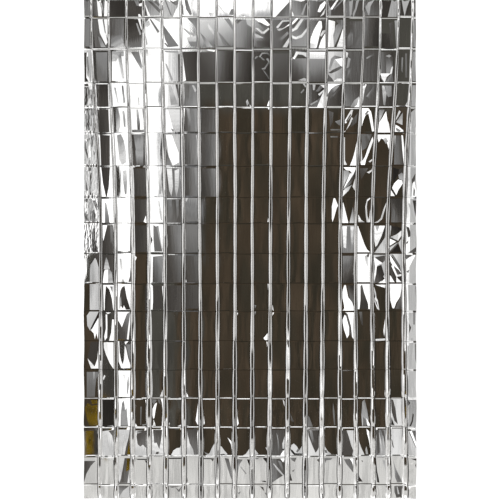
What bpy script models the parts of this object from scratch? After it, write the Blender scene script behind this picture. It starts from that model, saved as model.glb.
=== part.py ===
"""Emergency foil blanket: one cut sheet of metallised film, laid out flat with its packing folds standing up.

Run with blender --background --python part.py, or from Blender's text editor. Metres, +Z up. The origin is
on the surface that the sheet lies on, under the middle of its outline. X runs across the sheet, Y along it.
"""

import math

import bmesh
import bpy

# The outline as it lies, and the sheet's thickness measured straight down.
LAID_WIDTH = 1.40
LAID_LENGTH = 2.10
THICKNESS = 0.0013

# Lengthways folds. They stand up as sharp ridges and gather the sheet, most of all at its waist.
RIDGE_SLOPE = 0.75
TIGHT_SHARE = 0.45  # how much of a ridge's width is left where the sheet lies tightest, at its top end
TIGHT_TO = 0.10  # metres from the top end
OPEN_FROM = 0.60
PINCH_SHARE = 0.68  # how much is left where a crosswise fold crosses it
BULGE_POWER = 0.6  # under 1, a ridge is soon wide again past a crosswise fold

# One row for each lengthways fold, from left to right: (x at the top end, x at the waist, x at the bottom
# end, half the ridge's width).
FOLDS = [
    (-0.670, -0.628, -0.633, 0.0090),
    (-0.597, -0.565, -0.563, 0.0075),
    (-0.522, -0.493, -0.495, 0.0085),
    (-0.449, -0.427, -0.424, 0.0110),
    (-0.371, -0.358, -0.354, 0.0105),
    (-0.292, -0.279, -0.278, 0.0100),
    (-0.218, -0.211, -0.206, 0.0095),
    (-0.141, -0.137, -0.137, 0.0095),
    (-0.065, -0.063, -0.065, 0.0105),
    (0.013, 0.010, 0.009, 0.0085),
    (0.091, 0.086, 0.082, 0.0092),
    (0.172, 0.162, 0.157, 0.0096),
    (0.246, 0.236, 0.232, 0.0105),
    (0.325, 0.308, 0.301, 0.0115),
    (0.400, 0.380, 0.378, 0.0100),
    (0.480, 0.445, 0.447, 0.0085),
    (0.551, 0.514, 0.520, 0.0095),
    (0.627, 0.579, 0.584, 0.0098),
    (0.686, 0.648, 0.654, 0.0110),
]
FOLD_COUNT = len(FOLDS)

# One row for each crosswise fold, from the top end: (distance from the top end, crest height). A fold with no
# crest has been pulled flat and only pinches the ridges that it crosses.
CROSS_FOLDS = [
    (0.073, 0.0010),
    (0.207, 0.0016),
    (0.350, 0.0012),
    (0.453, 0.0012),
    (0.561, 0.0),
    (0.700, 0.0),
    (0.832, 0.0),
    (0.942, 0.0),
    (1.069, 0.0),
    (1.195, 0.0),
    (1.312, 0.0),
    (1.438, 0.0),
    (1.558, 0.0),
    (1.678, 0.0010),
    (1.800, 0.0015),
    (1.923, 0.0014),
    (2.043, 0.0010),
]
CREST_HALF_WIDTH = 0.005

# Where the film has buckled between folds, it stands up as a roof with four sides: (column, row, height).
# Column 0 is left of the first fold, and row 0 is above the first crosswise fold.
DENTS = [
    (0, 3, 0.0060),
    (0, 4, 0.0055),
    (0, 5, 0.0080),
    (0, 6, 0.0060),
    (0, 7, 0.0070),
    (0, 8, 0.0060),
    (0, 11, 0.0070),
    (1, 7, 0.0040),
    (1, 9, 0.0060),
    (1, 11, 0.0050),
    (2, 10, 0.0045),
    (2, 12, 0.0050),
    (15, 4, 0.0050),
    (15, 5, 0.0035),
    (15, 6, 0.0065),
    (15, 7, 0.0040),
    (15, 10, 0.0060),
    (16, 4, 0.0045),
    (16, 5, 0.0050),
    (16, 8, 0.0060),
    (16, 9, 0.0035),
    (16, 10, 0.0050),
    (17, 4, 0.0055),
    (17, 5, 0.0040),
    (17, 8, 0.0065),
    (17, 9, 0.0060),
    (17, 10, 0.0040),
    (18, 4, 0.0070),
    (18, 6, 0.0080),
    (18, 8, 0.0085),
    (18, 9, 0.0070),
    (18, 10, 0.0055),
    (19, 5, 0.0040),
    (19, 7, 0.0060),
    (19, 9, 0.0070),
    (19, 12, 0.0050),
]
DENTED_COLUMNS = {column for column, row, height in DENTS}
DENTED_ROWS = {row for column, row, height in DENTS}

# The side edges curl off the surface below the top end, and every edge wanders a little.
LEFT_CURL = 0.0050
RIGHT_CURL = 0.0090
COLUMN_CURL_SHARE = 0.33  # how much of the curl is left halfway across the column beside the edge
CURL_FROM = 0.42  # metres from the top end
CURL_FULL = 0.62
EDGE_WANDER = 0.0022
EDGE_WAVES = 9.3


def smooth(low, high, value):
    """0 below low, 1 above high, and an S curve between them."""
    share = min(1.0, max(0.0, (value - low) / (high - low)))
    return share * share * (3 - 2 * share)


def fold_x(fold, down):
    """Where a lengthways fold lies across the sheet, at that distance from the top end."""
    top, waist, bottom, half_width = FOLDS[fold]
    above = 1 - smooth(0.0, LAID_LENGTH / 2, down)
    below = smooth(LAID_LENGTH / 2, LAID_LENGTH, down)
    return waist + (top - waist) * above + (bottom - waist) * below


def pinch_at(down):
    """1 midway between two crosswise folds, and PINCH_SHARE on a fold."""
    lines = [0.0] + [place for place, crest in CROSS_FOLDS] + [LAID_LENGTH]
    row = max(n for n in range(len(lines) - 1) if lines[n] <= down)
    share = (down - lines[row]) / (lines[row + 1] - lines[row])
    bulge = max(0.0, math.sin(math.pi * share)) ** BULGE_POWER
    return PINCH_SHARE + (1 - PINCH_SHARE) * bulge


def half_width_at(fold, down):
    """Half the width of a ridge, narrow at the top end and pinched at each crosswise fold."""
    half_width = FOLDS[fold][3]
    opened = TIGHT_SHARE + (1 - TIGHT_SHARE) * smooth(TIGHT_TO, OPEN_FROM, down)
    return half_width * opened * pinch_at(down)


def side_edge_x(side, down):
    """The left (-1) or right (1) edge. It wanders inwards from the outline's full width."""
    wave = 0.5 + 0.5 * math.sin(EDGE_WAVES * down * 2 * math.pi / LAID_LENGTH + side)
    return side * (LAID_WIDTH / 2 - EDGE_WANDER * wave)


def sheet_columns():
    """The grid's lines across the sheet, as (kind, fold or column number, side)."""
    columns = [("edge", 0, -1)]
    for fold in range(FOLD_COUNT):
        if fold in DENTED_COLUMNS:
            columns.append(("middle", fold, 0))
        columns += [("foot", fold, -1), ("top", fold, 0), ("foot", fold, 1)]
    if FOLD_COUNT in DENTED_COLUMNS:
        columns.append(("middle", FOLD_COUNT, 0))
    return columns + [("edge", 0, 1)]


def sheet_rows():
    """The grid's lines down the sheet, as (distance from the top end, crest height, row number or None)."""
    rows = [(0.0, 0.0, None)]
    before = 0.0
    for number, (place, crest) in enumerate(CROSS_FOLDS):
        if crest == 0.0 or number in DENTED_ROWS:
            rows.append(((before + place) / 2, 0.0, number))
        if crest:
            rows.append((place - CREST_HALF_WIDTH, 0.0, None))
        rows.append((place, crest, None))
        if crest:
            rows.append((place + CREST_HALF_WIDTH, 0.0, None))
        before = place
    return rows + [(LAID_LENGTH, 0.0, None)]


def column_x(kind, number, side, down):
    """Where one of the grid's lines lies across the sheet. A middle line runs halfway between two ridges."""
    if kind == "edge":
        return side_edge_x(side, down)
    if kind == "foot":
        return fold_x(number, down) + side * half_width_at(number, down)
    if kind == "top":
        return fold_x(number, down)
    left = side_edge_x(-1, down)
    if number > 0:
        left = column_x("foot", number - 1, 1, down)
    right = side_edge_x(1, down)
    if number < FOLD_COUNT:
        right = column_x("foot", number, -1, down)
    return (left + right) / 2


def dent_height(column, row):
    """How far the film stands up in the middle of that cell."""
    return sum(height for c, r, height in DENTS if (c, r) == (column, row))


def column_z(kind, number, side, down, crest, row):
    """The height of the film's upper face over the surface."""
    if kind == "edge":
        curl = RIGHT_CURL if side > 0 else LEFT_CURL
        return THICKNESS + curl * smooth(CURL_FROM, CURL_FULL, down)
    if kind == "foot":
        return THICKNESS + crest
    if kind == "top":
        return THICKNESS + max(crest, RIDGE_SLOPE * half_width_at(number, down))
    curl = 0.0
    if number == 0:
        curl = COLUMN_CURL_SHARE * LEFT_CURL
    if number == FOLD_COUNT:
        curl = COLUMN_CURL_SHARE * RIGHT_CURL
    return THICKNESS + crest + curl * smooth(CURL_FROM, CURL_FULL, down) + dent_height(number, row)


def add_sheet(collection, material):
    """A grid whose points are moved onto the folds, then drawn down by the film's thickness."""
    columns, rows = sheet_columns(), sheet_rows()
    mesh = bpy.data.meshes.new("foil_blanket")
    shape = bmesh.new()
    bmesh.ops.create_grid(shape, x_segments=len(columns) - 1, y_segments=len(rows) - 1, size=1.0)
    for point in shape.verts:
        column = round((point.co.x + 1) / 2 * (len(columns) - 1))
        row = round((1 - point.co.y) / 2 * (len(rows) - 1))
        kind, number, side = columns[column]
        down, crest, row_number = rows[row]
        x = column_x(kind, number, side, down)
        z = column_z(kind, number, side, down, crest, row_number)
        point.co = (x, LAID_LENGTH / 2 - down, z)
    faces = list(shape.faces)
    grown = bmesh.ops.extrude_face_region(shape, geom=faces, use_keep_orig=True)
    lower = [item for item in grown["geom"] if isinstance(item, bmesh.types.BMVert)]
    bmesh.ops.translate(shape, verts=lower, vec=(0, 0, -THICKNESS))
    bmesh.ops.recalc_face_normals(shape, faces=shape.faces)
    if shape.calc_volume(signed=True) < 0:
        bmesh.ops.reverse_faces(shape, faces=shape.faces)
    shape.to_mesh(mesh)
    shape.free()
    mesh.materials.append(material)
    sheet = bpy.data.objects.new("foil_blanket", mesh)
    collection.objects.link(sheet)
    return sheet


def foil_material():
    """Bright metal, smooth enough to mirror what is around it."""
    material = bpy.data.materials.new("metallised_film")
    material.use_nodes = True
    shader = material.node_tree.nodes["Principled BSDF"]
    shader.inputs["Base Color"].default_value = (0.86, 0.86, 0.85, 1)
    shader.inputs["Metallic"].default_value = 1.0
    shader.inputs["Roughness"].default_value = 0.12
    return material


def main():
    for old in list(bpy.data.objects):
        bpy.data.objects.remove(old)
    blanket = bpy.data.collections.new("emergency_foil_blanket")
    bpy.context.scene.collection.children.link(blanket)
    add_sheet(blanket, foil_material())


main()
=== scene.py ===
import math

import bpy
import numpy as np
from mathutils.geometry import delaunay_2d_cdt
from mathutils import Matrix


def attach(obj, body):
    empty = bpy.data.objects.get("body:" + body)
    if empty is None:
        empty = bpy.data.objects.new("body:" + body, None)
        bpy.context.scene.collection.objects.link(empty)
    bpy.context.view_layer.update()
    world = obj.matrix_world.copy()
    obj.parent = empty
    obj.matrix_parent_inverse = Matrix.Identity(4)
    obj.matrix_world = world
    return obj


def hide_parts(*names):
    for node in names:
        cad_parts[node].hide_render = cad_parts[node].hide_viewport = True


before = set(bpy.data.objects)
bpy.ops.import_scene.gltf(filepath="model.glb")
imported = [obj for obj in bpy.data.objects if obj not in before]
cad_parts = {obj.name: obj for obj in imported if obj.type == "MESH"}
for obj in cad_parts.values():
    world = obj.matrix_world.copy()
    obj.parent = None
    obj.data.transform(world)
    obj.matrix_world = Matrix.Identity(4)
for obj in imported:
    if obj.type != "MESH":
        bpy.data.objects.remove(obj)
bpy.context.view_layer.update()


# metres; x runs across the sheet, "down" is the distance from its top end at +y
foilSheet = {
    "width": 1.40,
    "length": 2.10,
    "film": 0.0004,  # thickness shown at the rim
    "panelHeight": 0.0024,  # how high the flat panels lie
    "pinchShare": 0.80,  # ridge width left where a crosswise fold crosses it
    "bulgePower": 0.7,
    "filletShare": 1.40,  # the foot of a ridge runs this far out, in half widths
    "creaseHalf": 0.0036,  # half the width of a crosswise fold
    "creaseStep": 0.0018,  # a crosswise fold jogs up and down by this from panel to panel
    "jogFrom": 0.03,  # the jogs start over this distance from either end
    "panelBow": 0.00016,
    "curl": (0.0040, 0.0085),  # how far the left and right edges stand up
    "curlFrom": 0.42,
    "curlFull": 0.62,
    "curlStart": (0.30, 0.55),  # the right column's share is u, or the first plus the second times u if less
    "edgeWander": 0.0022,  # how far the side edges wander inwards, and in how many waves
    "edgeWaves": 9.3,
    "panelLines": 4,  # lines down each panel between its sides, and lines across each cell
    "rowsPerCell": 10,
    "foldPlaces": 1051,  # places down the sheet where the folds are worked out, 2 mm apart
    "keepTriangles": 97000,  # about how many each face of the film keeps once its flat places are thinned
}

# how uneven the folding is: the spread or the range of each random draw
uneven = {
    "seed": 11,
    "lean": 0.0014,  # slope of a flat panel
    "bow": (-0.6, 1.4),  # times panelBow
    "creaseUp": 0.75,  # the share of crosswise folds that stand up
    "creaseDip": -0.8,  # the others dip, times their crest
    "creaseAllUp": 13,  # but from this one on they all stand up
    "crease": (0.5, 1.2),
    "weave": 0.0005,  # of a ridge beside its line
    "swell": (0.90, 1.10),
    "split": (-0.12, 0.12),
    "jog": 0.0006,
    "flare": ((15, 0.008, 0.016), (14, 0.0, 0.006)),  # row, least and most lean of a panel's two sides
}

# each lengthways ridge: x at the top end, at the waist and at the bottom end, half its width, and how far
# its crest splits
ridgeTable = [
    (-0.670, -0.628, -0.633, 0.0064, 0.35),
    (-0.597, -0.565, -0.563, 0.0066, 0.35),
    (-0.522, -0.493, -0.495, 0.0072, 0.30),
    (-0.449, -0.427, -0.424, 0.0080, 0.35),
    (-0.371, -0.358, -0.354, 0.0078, 0.30),
    (-0.292, -0.279, -0.278, 0.0076, 0.25),
    (-0.218, -0.211, -0.206, 0.0072, 0.1),
    (-0.141, -0.137, -0.137, 0.0070, 0.2),
    (-0.065, -0.063, -0.065, 0.0072, 0.0),
    (0.013, 0.010, 0.009, 0.0066, 0.1),
    (0.091, 0.086, 0.082, 0.0072, 0.2),
    (0.172, 0.162, 0.157, 0.0074, 0.25),
    (0.246, 0.236, 0.232, 0.0076, 0.1),
    (0.325, 0.308, 0.301, 0.0078, 0.2),
    (0.400, 0.380, 0.378, 0.0078, 0.30),
    (0.480, 0.445, 0.447, 0.0068, 0.25),
    (0.551, 0.514, 0.520, 0.0074, 0.35),
    (0.627, 0.579, 0.584, 0.0078, 0.25),
    (0.686, 0.648, 0.654, 0.0084, 0.35),
]
# how wide the ridges stand and how far their crests split, from the top end down
ridgeRun = {
    "down": (0.0, 0.22, 0.50, 1.20, 1.60, 2.10),
    "width": (0.58, 0.62, 0.84, 0.92, 1.20, 1.22),
    "split": (0.2, 0.1, 0.0, 0.0, 0.28, 0.25),
}

# a ridge's profile: places across it in half widths, and its heights there with one crest or with two
ridgeProfile = {
    "across": (-1.0, -0.55, -0.12, 0.12, 0.55, 1.0),
    "single": (0.13, 0.48, 0.84, 0.84, 0.48, 0.13),
    "double": (0.13, 0.54, 0.30, 0.30, 0.54, 0.13),
}

# crosswise folds: distance from the top end, height of the fold's own crest
crossTable = [
    (0.073, 0.0009),
    (0.207, 0.0014),
    (0.350, 0.0008),
    (0.453, 0.0007),
    (0.561, 0.0001),
    (0.700, 0.0001),
    (0.832, 0.0001),
    (0.942, 0.00015),
    (1.069, 0.0001),
    (1.195, 0.0001),
    (1.312, 0.00012),
    (1.438, 0.00005),
    (1.558, 0.00004),
    (1.678, 0.0004),
    (1.800, 0.0005),
    (1.923, 0.0012),
    (2.043, 0.0009),
]


def smoothStep(low, high, value):
    # 0 below low, 1 above high, 3s^2 - 2s^3 between
    share = np.clip((value - low) / (high - low), 0, 1)
    return share * share * (3 - 2 * share)


def foldPlace(top, waist, bottom, down):
    # where a fold lies across the sheet: it eases from its place at the top to the waist and on to the bottom
    half = foilSheet["length"] / 2
    above = 1 - smoothStep(0, half, down)
    below = smoothStep(half, 2 * half, down)
    return waist + (top - waist) * above + (bottom - waist) * below


def rowLines():
    # the crosswise folds between the two ends
    return np.array([0.0] + [place for place, crest in crossTable] + [foilSheet["length"]])


rng = np.random.default_rng(uneven["seed"])
cellRows, cellColumns = len(crossTable) + 1, len(ridgeTable) + 1
cells = (cellRows, cellColumns)
crossings = (len(ridgeTable), cellRows + 1)
leanAcross = rng.normal(0, uneven["lean"], (1, cellColumns)) + rng.normal(0, uneven["lean"], cells)
leanAlong = rng.normal(0, uneven["lean"], cells)
bow = foilSheet["panelBow"] * rng.uniform(*uneven["bow"], cells)
creaseSign = np.where(rng.random(cells) < uneven["creaseUp"], 1.0, uneven["creaseDip"])
creaseSign = creaseSign * rng.uniform(*uneven["crease"], cells)
creaseSign[uneven["creaseAllUp"]:] = np.abs(creaseSign[uneven["creaseAllUp"]:])
weave = rng.normal(0, uneven["weave"], crossings)
swell = rng.uniform(*uneven["swell"], crossings)
splitShift = rng.uniform(*uneven["split"], crossings)
creaseShift = np.where(np.arange(cellColumns) % 2, 1, -1) * foilSheet["creaseStep"]
creaseShift = creaseShift + rng.normal(0, uneven["jog"], (cellRows + 1, cellColumns))


def cellAt(down):
    # the row of cells that each point lies in
    return np.clip(np.searchsorted(rowLines(), down, side="right") - 1, 0, cellRows - 1)


def rowAt(down):
    # the same plus the share of the way to the next fold
    return np.interp(down, rowLines(), np.arange(cellRows + 1))


def downAt(row):
    # how far down such a place lies
    return np.interp(row, np.arange(cellRows + 1), rowLines())


# panels that lean as a whole: first and last column, first and last row, lean across, lean along
leanTable = [
    (0, 0, 2, 9, 0.030, 0.0),
    (3, 3, 6, 13, -0.045, 0.0),
    (2, 2, 10, 13, 0.02, 0.0),
]
for firstColumn, lastColumn, firstRow, lastRow, across, along in leanTable:
    leanAcross[firstRow:lastRow + 1, firstColumn:lastColumn + 1] += across
    leanAlong[firstRow:lastRow + 1, firstColumn:lastColumn + 1] += along

flare = np.zeros(cells)  # lean along, one way at a panel's two sides and the other in its middle
for row, least, most in uneven["flare"]:
    flare[row] = rng.uniform(least, most, cellColumns)
crestHeights = np.array([crest for place, crest in crossTable])

# where the room's left and right sides have each shade, from 1 for white down to black
shadeSides = {
    "shade": (0.17, 0.22, 0.31, 0.52, 0.70, 0.84, 0.93, 1.0),
    "left": (-2.60, -2.42, -2.25, -2.05, -1.85, -1.55, -1.20, -0.90),
    "right": (2.62, 2.48, 2.34, 2.18, 2.04, 1.88, 1.72, 1.45),
}
viewHeight = 4.0  # the camera's height over the sheet
# what the facets mirror: places across and along the room, in metres from its middle
mirrored = {
    "rightFrom": -0.15,  # facets from this x on mirror the right side, and the others the left side
    "sideAlong": (-0.70, 0.80),
    "middleAcross": 0.2,
    "middleAlong": (-0.55, 0.50),
    "gold": (-0.68, -0.74),
}
facetForm = {
    "step": 0.004217,  # corners are counted in these steps, across and down from the top end
    "middle": 250,  # the count across at x = 0
    "inset": 0.0004,  # a facet stays this far inside its panel
    "reach": 0.0015,  # points of the grid this close to a facet's side are left out
    "cup": 0.35,  # how much a facet bends across, at most, in slope a metre
    "slack": 0.006,  # how far the rise takes to fade out
    "rise": 0.0030,  # the most that a facet rises, and the most of its own slope that it rises by
    "steepest": 0.6,
    "under": 0.5,  # how much of a facet's rise goes where another lies on it
}
# a facet: its shade, or its shades at its first side and its far end, and then its corners in order, or two
# of a rectangle's; shade 0 is the room's dark middle, -1 its gold panel, and the others lie on its two sides
facetTable = [
    # whole panels at the edges and left of the middle
    (0.28, (413, 0), (416, 16.5)),
    (0.52, 0.56, (412, 19.5), (416, 47)),
    (0.6, 0.56, (412, 51.5), (416, 81)),
    (0.6, 0.64, (411, 85), (416, 106)),
    (0.48, 0.46, (84, 19.5), (90, 47)),
    (0.3, 0.29, (134, 168), (147, 195.5)),
    (0.28, 0.27, (134, 199), (147, 221.7)),
    (0.26, (134, 225), (147, 251.7)),
    (0.41, 0.37, (185.5, 199), (198, 221.7)),
    (0.36, 0.34, (185.5, 225), (198, 251.7)),
    # top end, panels 0 to 6
    (0.41, 0.47, (84, 0), (84, 16), (90, 16), (90, 0)),
    (0.38, 0.34, (92, 0), (97, 0), (98.5, 16), (93, 16)),
    (1, (97, 0), (101, 0), (102, 16), (98.5, 16)),
    (0.75, 0.45, (99.5, 2), (102, 3), (104, 12), (103, 14)),
    (0.5, 0.6, (103, 0), (105, 0), (105, 10), (104, 12)),
    (1, (105, 0), (108, 0), (108, 16), (104, 16)),
    (0.22, 0.25, (108.5, 0), (125, 17)),
    (0.28, 0.3, (126, 0), (143, 17)),
    (0.5, (134, 0), (138, 0), (140, 5), (137, 6)),
    (1, (139, 4), (142, 3), (142, 6), (139, 6)),
    (1, (138.5, 14), (140, 14), (143, 17), (138.5, 17)),
    (0.54, 0.62, (144, 0), (160, 0), (160, 16), (149, 16)),
    (0.3, 0.35, (143, 6), (143, 17), (148, 17), (145, 8)),
    (0.35, 0.4, (147, 0), (150, 0), (160.5, 10), (160, 14)),
    (0.38, 0.42, (152, 0), (156, 0), (160, 5), (159, 7)),
    (1, (143.5, 5), (145.5, 5), (150.5, 17), (148, 17)),
    (1, (158.5, 0), (161, 0), (161, 5), (160, 5)),
    (0.72, 0.7, (162, 0), (179, 0), (176, 16.5), (162, 16.5)),
    (0.5, 0.55, (164.5, 0), (166, 0), (172, 15), (170.5, 15)),
    (0.42, 0.45, (170, 0), (178, 0), (178.5, 4), (176, 5.5), (172, 3)),
    (1, (176, 9), (179.5, 5), (179.5, 16.5), (173, 16.5)),
    (0.4, 0.55, (181.5, 5), (183, 6), (184, 16), (181.5, 15)),
    (0.4, 0.5, (184.5, 0), (187.5, 0), (192, 15), (190, 16), (186, 10)),
    (0.37, 0.35, (92, 19), (98.5, 19), (104, 47), (95, 47)),
    (0.5, 0.62, (98, 36), (101, 38), (106, 47), (101, 47)),
    (1, (98, 19), (103, 19), (108, 42), (106, 45), (100, 33)),
    (0.45, 0.5, (102.5, 19.5), (104, 21), (106, 32), (105, 33)),
    (1, (104, 19), (108, 19), (108, 38), (106, 33)),
    (0.31, 0.45, (109, 19), (109, 47), (124, 47), (124, 19)),
    (0.45, 0.7, (111, 36), (123, 36), (124, 47), (111, 47)),
    (0.22, 0.42, (127, 19), (142, 19), (142, 47), (130, 47)),
    (1, (138, 18.5), (140.5, 18.5), (142.5, 28), (141.5, 30)),
    (0.62, 0.6, (136, 23), (137.5, 23), (141.5, 34), (140, 35)),
    (1, (145, 19), (161, 47.5)),
    (0.35, 0.5, (144, 19), (149, 19), (148, 21), (145, 23)),
    (0.72, 0.8, (144.5, 23), (149, 21), (150.5, 25), (148, 27.5), (145, 27)),
    (0.4, 0.42, (149.5, 19.5), (151, 19.5), (159.5, 32), (158, 34)),
    (0.72, 0.7, (153, 18.5), (160, 18.5), (160, 23), (157, 21)),
    (0.4, 0.5, (144.5, 36), (146, 37), (147.5, 45), (146.5, 46)),
    (0.43, 0.5, (162.5, 25), (179, 46), (169, 47), (165, 39), (162.5, 33)),
    (0.4, 0.45, (164, 42.5), (165.5, 42.5), (169, 46), (168, 47.5)),
    (0.45, 0.6, (187, 18.5), (197, 18.5), (197, 30), (192, 24)),
    (0.65, 0.7, (182, 29), (185, 29), (190, 33), (196.5, 34), (196.5, 37), (189, 35)),
    (0.85, 0.75, (187, 38), (196.5, 36), (196.5, 42), (188, 42)),
    (0.55, 0.5, (188, 42), (197, 42), (197, 47), (191, 47)),
    (0.52, 0.38, (96, 52), (107.5, 52), (107.5, 81), (97, 81)),
    (1, (112, 52), (126, 81.5)),
    (0.6, 0.75, (112, 52), (124, 52), (124, 57), (119, 57), (116, 62), (112, 62)),
    (0.48, 0.85, (121, 53), (124.5, 79), (122.5, 79), (117.5, 55)),
    (0.42, 0.6, (131, 51.5), (139, 51.5), (142.5, 66), (141.5, 69), (136, 60)),
    (0.8, (141, 52), (143, 52), (143, 57)),
    (1, 0.6, (163.5, 52), (166, 81), (179, 81), (179, 52)),
    (0.6, 0.7, (165, 63), (167, 64), (173, 79), (171.5, 81)),
    (0.65, 0.6, (164, 50.5), (179, 50.5), (178, 53), (166, 52)),
    (0.35, (178, 54), (179.7, 54), (179.7, 81), (178.5, 81)),
    (0.27, 0.3, (182, 52), (197, 52), (197, 82), (184, 82)),
    (0.95, (180.5, 55), (182.5, 55), (186, 81), (181.5, 82)),
    (0.24, 0.26, (96, 84), (108, 84), (108.5, 106), (97, 106)),
    (0.6, 0.9, (114, 88), (117.5, 104), (119, 104), (116, 88)),
    (0.5, 0.65, (121.5, 86), (123.5, 86), (125.5, 103), (123.5, 104)),
    (1, (130, 84), (145, 106.5)),
    (0.6, 0.8, (138, 97), (139, 97), (139.5, 105), (138.5, 105)),
    (1, 0.6, (164, 84), (166, 106), (179, 106), (179, 84)),
    (0.75, 0.6, (168.5, 85), (171, 85), (178, 104), (171, 105)),
    (0.35, 0.4, (175.5, 84), (178, 84), (179.7, 97), (178.5, 98)),
    (0.45, 0.5, (183, 84), (197, 106)),
    (0.9, 0.85, (180.5, 84), (184, 84), (184.5, 97), (182.5, 106)),
    (0.75, 0.7, (192, 86), (194, 86), (196.7, 91), (195, 93)),
    (0.35, 0.4, (186, 85), (190, 85), (188.5, 100), (185.5, 95)),
    # left edge, rows 2 to 7
    (0.27, 0.24, (84, 53), (87, 53), (86.5, 60), (86.5, 78), (89, 82.3), (84, 82.3)),
    (0.8, (84, 50.5), (88, 53)),
    (0.75, 0.7, (86.5, 57), (87.3, 57), (87.5, 70), (87.8, 78), (87, 74), (86.5, 66)),
    (0.35, 0.3, (87.3, 57), (88, 57), (88.7, 70), (88.7, 78), (87.8, 76), (87.5, 66)),
    (0.72, 0.66, (88, 50.5), (91.5, 50.5), (91.5, 82), (89.8, 82.3), (88.7, 70), (88, 57)),
    (0.5, 0.55, (84, 87), (93, 106)),
    (0.2, 0.25, (84, 84.2), (88, 84.2), (89, 86.5), (84, 86.5)),
    (0.3, 0.27, (85.5, 88), (87, 105)),
    (0.95, 0.9, (89.5, 84.2), (92.5, 84.2), (92.3, 90), (89.5, 90)),
    (0.9, 0.85, (88.5, 100), (91, 98), (91.3, 104.5), (87.5, 106.3)),
    (0.35, (91.3, 94.5), (92.3, 96), (92.3, 100), (91.3, 98.5)),
    (0.62, 0.6, (84, 109), (94.5, 131.5)),
    (0.42, (85, 109), (92, 109), (92.5, 111), (85, 111)),
    (0.38, 0.35, (88, 112), (89.5, 116), (89.7, 126), (88.3, 129), (86.5, 131), (86, 128), (88, 122)),
    (1, (84, 111.5), (86, 111.5), (85.8, 114.5), (84, 114.5)),
    (1, (85, 127), (86, 127), (85.7, 131.3), (84.8, 130.5)),
    (0.85, (91.8, 116), (92.8, 116), (92.8, 126), (92, 124)),
    (0.78, 0.8, (90, 127), (92, 127), (92.3, 131.3), (90, 131.3)),
    (0.72, 0.8, (84, 134.5), (95.5, 134.5), (97, 164.5), (84, 164.5)),
    (1, (84.5, 134.5), (87, 134.5), (88, 136), (85, 136)),
    (1, (89.5, 134.5), (94, 134.5), (93, 136), (89.5, 136)),
    (1, (85, 140.5), (87.5, 138.5), (88.7, 140.5), (87.5, 143.5)),
    (1, 0.95, (89.6, 144), (90.7, 145), (91, 157), (89, 159), (88.6, 154)),
    (0.4, 0.38, (91.5, 138), (94, 136), (93.5, 139.5), (92.5, 148), (91, 147)),
    (0.33, 0.3, (86, 149), (87, 149.5), (88.3, 155), (87.8, 159), (87, 158), (86, 153)),
    (0.33, (89.3, 138.5), (90.3, 139), (89.7, 141), (89, 140.5)),
    (0.4, (94, 151), (95, 153), (94.8, 156), (93.9, 155)),
    (0.55, 0.5, (84, 143), (86.5, 144), (86, 152), (84.5, 149)),
    (0.4, (89.2, 160.5), (90.3, 161), (90, 164.3), (89, 164.3)),
    (0.78, 0.82, (84, 167.5), (97.5, 167.5), (98, 195.8), (84, 195.8)),
    (0.4, 0.42, (88.5, 167.7), (92, 167.7), (91.5, 171), (88, 172)),
    (1, (86, 167.7), (88, 167.7), (87.7, 171), (86.5, 171)),
    (1, (84, 191.5), (88.5, 192), (88.5, 195.8), (84, 195.8)),
    (1, (92.3, 192), (94, 191.5), (94, 195.8), (92.3, 195.8)),
    (0.52, 0.5, (90, 173), (92, 173), (91.5, 195.5), (89.5, 195.5)),
    (0.35, 0.3, (86, 180), (86.8, 183), (88.2, 190), (87, 191.7), (86, 190)),
    (0.72, 0.7, (84, 199), (98, 199), (98.5, 221.7), (84, 221.7)),
    (1, (91, 199), (97, 199.3), (98.5, 203), (98.5, 214), (97.6, 209), (96, 202), (93, 200.5)),
    (0.95, (94.5, 206), (97, 210), (97.5, 219), (96, 219), (94.7, 211)),
    (1, (85, 202), (88, 203), (88, 215), (86, 213), (84.5, 209)),
    (0.42, 0.36, (84.2, 212), (87.8, 216), (88, 221), (86, 220), (84.2, 215)),
    (0.4, (86, 199.3), (88.5, 199.3), (87.5, 202.5), (86, 202.5)),
    (1, (118, 199), (131, 199), (130.5, 221.7), (118, 221.7)),
    (1, (118, 225), (130.5, 225), (130, 251.5), (118, 251.5)),
    # top end, panels 7 to 12
    (0.6, 0.9, (209, 12), (213, 13), (215, 10.5), (213, 16), (210, 16)),
    (0.88, 0.9, (217.5, 6), (219.5, 6), (226, 14), (224, 14)),
    (0.45, 0.5, (229, 15), (231, 10), (233.5, 9.5), (233.5, 15.5), (231, 15.5)),
    (0.6, 0.9, (241, 14), (245, 15.2), (243, 16.5), (241, 16)),
    (0.4, 0.45, (275.5, 16.5), (289.5, 2), (290, 16.5)),
    (0.42, 0.48, (291.5, 0), (307.5, 17)),
    (0.66, 0.62, (301, 15), (305.5, 4), (307, 3), (303, 16)),
    (1, 0.9, (290.5, 12), (293, 14), (294, 16.7), (290.5, 16.5)),
    (0.84, 0.5, (199, 19), (214.5, 47)),
    (0.52, 0.62, (199, 32), (203, 35), (213, 47), (207, 47)),
    (0.9, 0.8, (208, 23), (214, 31), (214, 35), (208.5, 28)),
    (0.85, 0.5, (217, 19), (233, 47)),
    (0.45, 0.5, (217.5, 33), (220, 34), (231, 47), (224, 47)),
    (0.5, 0.55, (224, 19), (229, 19), (233, 27), (233, 31)),
    (0.95, 0.9, (229, 19), (233.5, 19), (233.5, 24)),
    (0.55, 0.42, (235.5, 19), (252.5, 47)),
    (0.38, 0.45, (235.5, 19), (243, 19), (237, 24)),
    (0.78, 0.72, (246, 19), (252.5, 19), (252.5, 27), (247, 24)),
    (0.52, 0.38, (254, 19), (270.5, 47)),
    (1, (254, 19), (264, 19), (270.5, 25), (268, 26.5), (258, 22)),
    (0.4, 0.35, (264, 19), (270.5, 19), (270.5, 23.5)),
    (0.35, 0.4, (258, 23), (261, 23), (269, 28), (266, 30)),
    (0.85, 0.8, (255, 28.5), (258, 28.5), (263.5, 33), (262, 34.5)),
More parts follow.
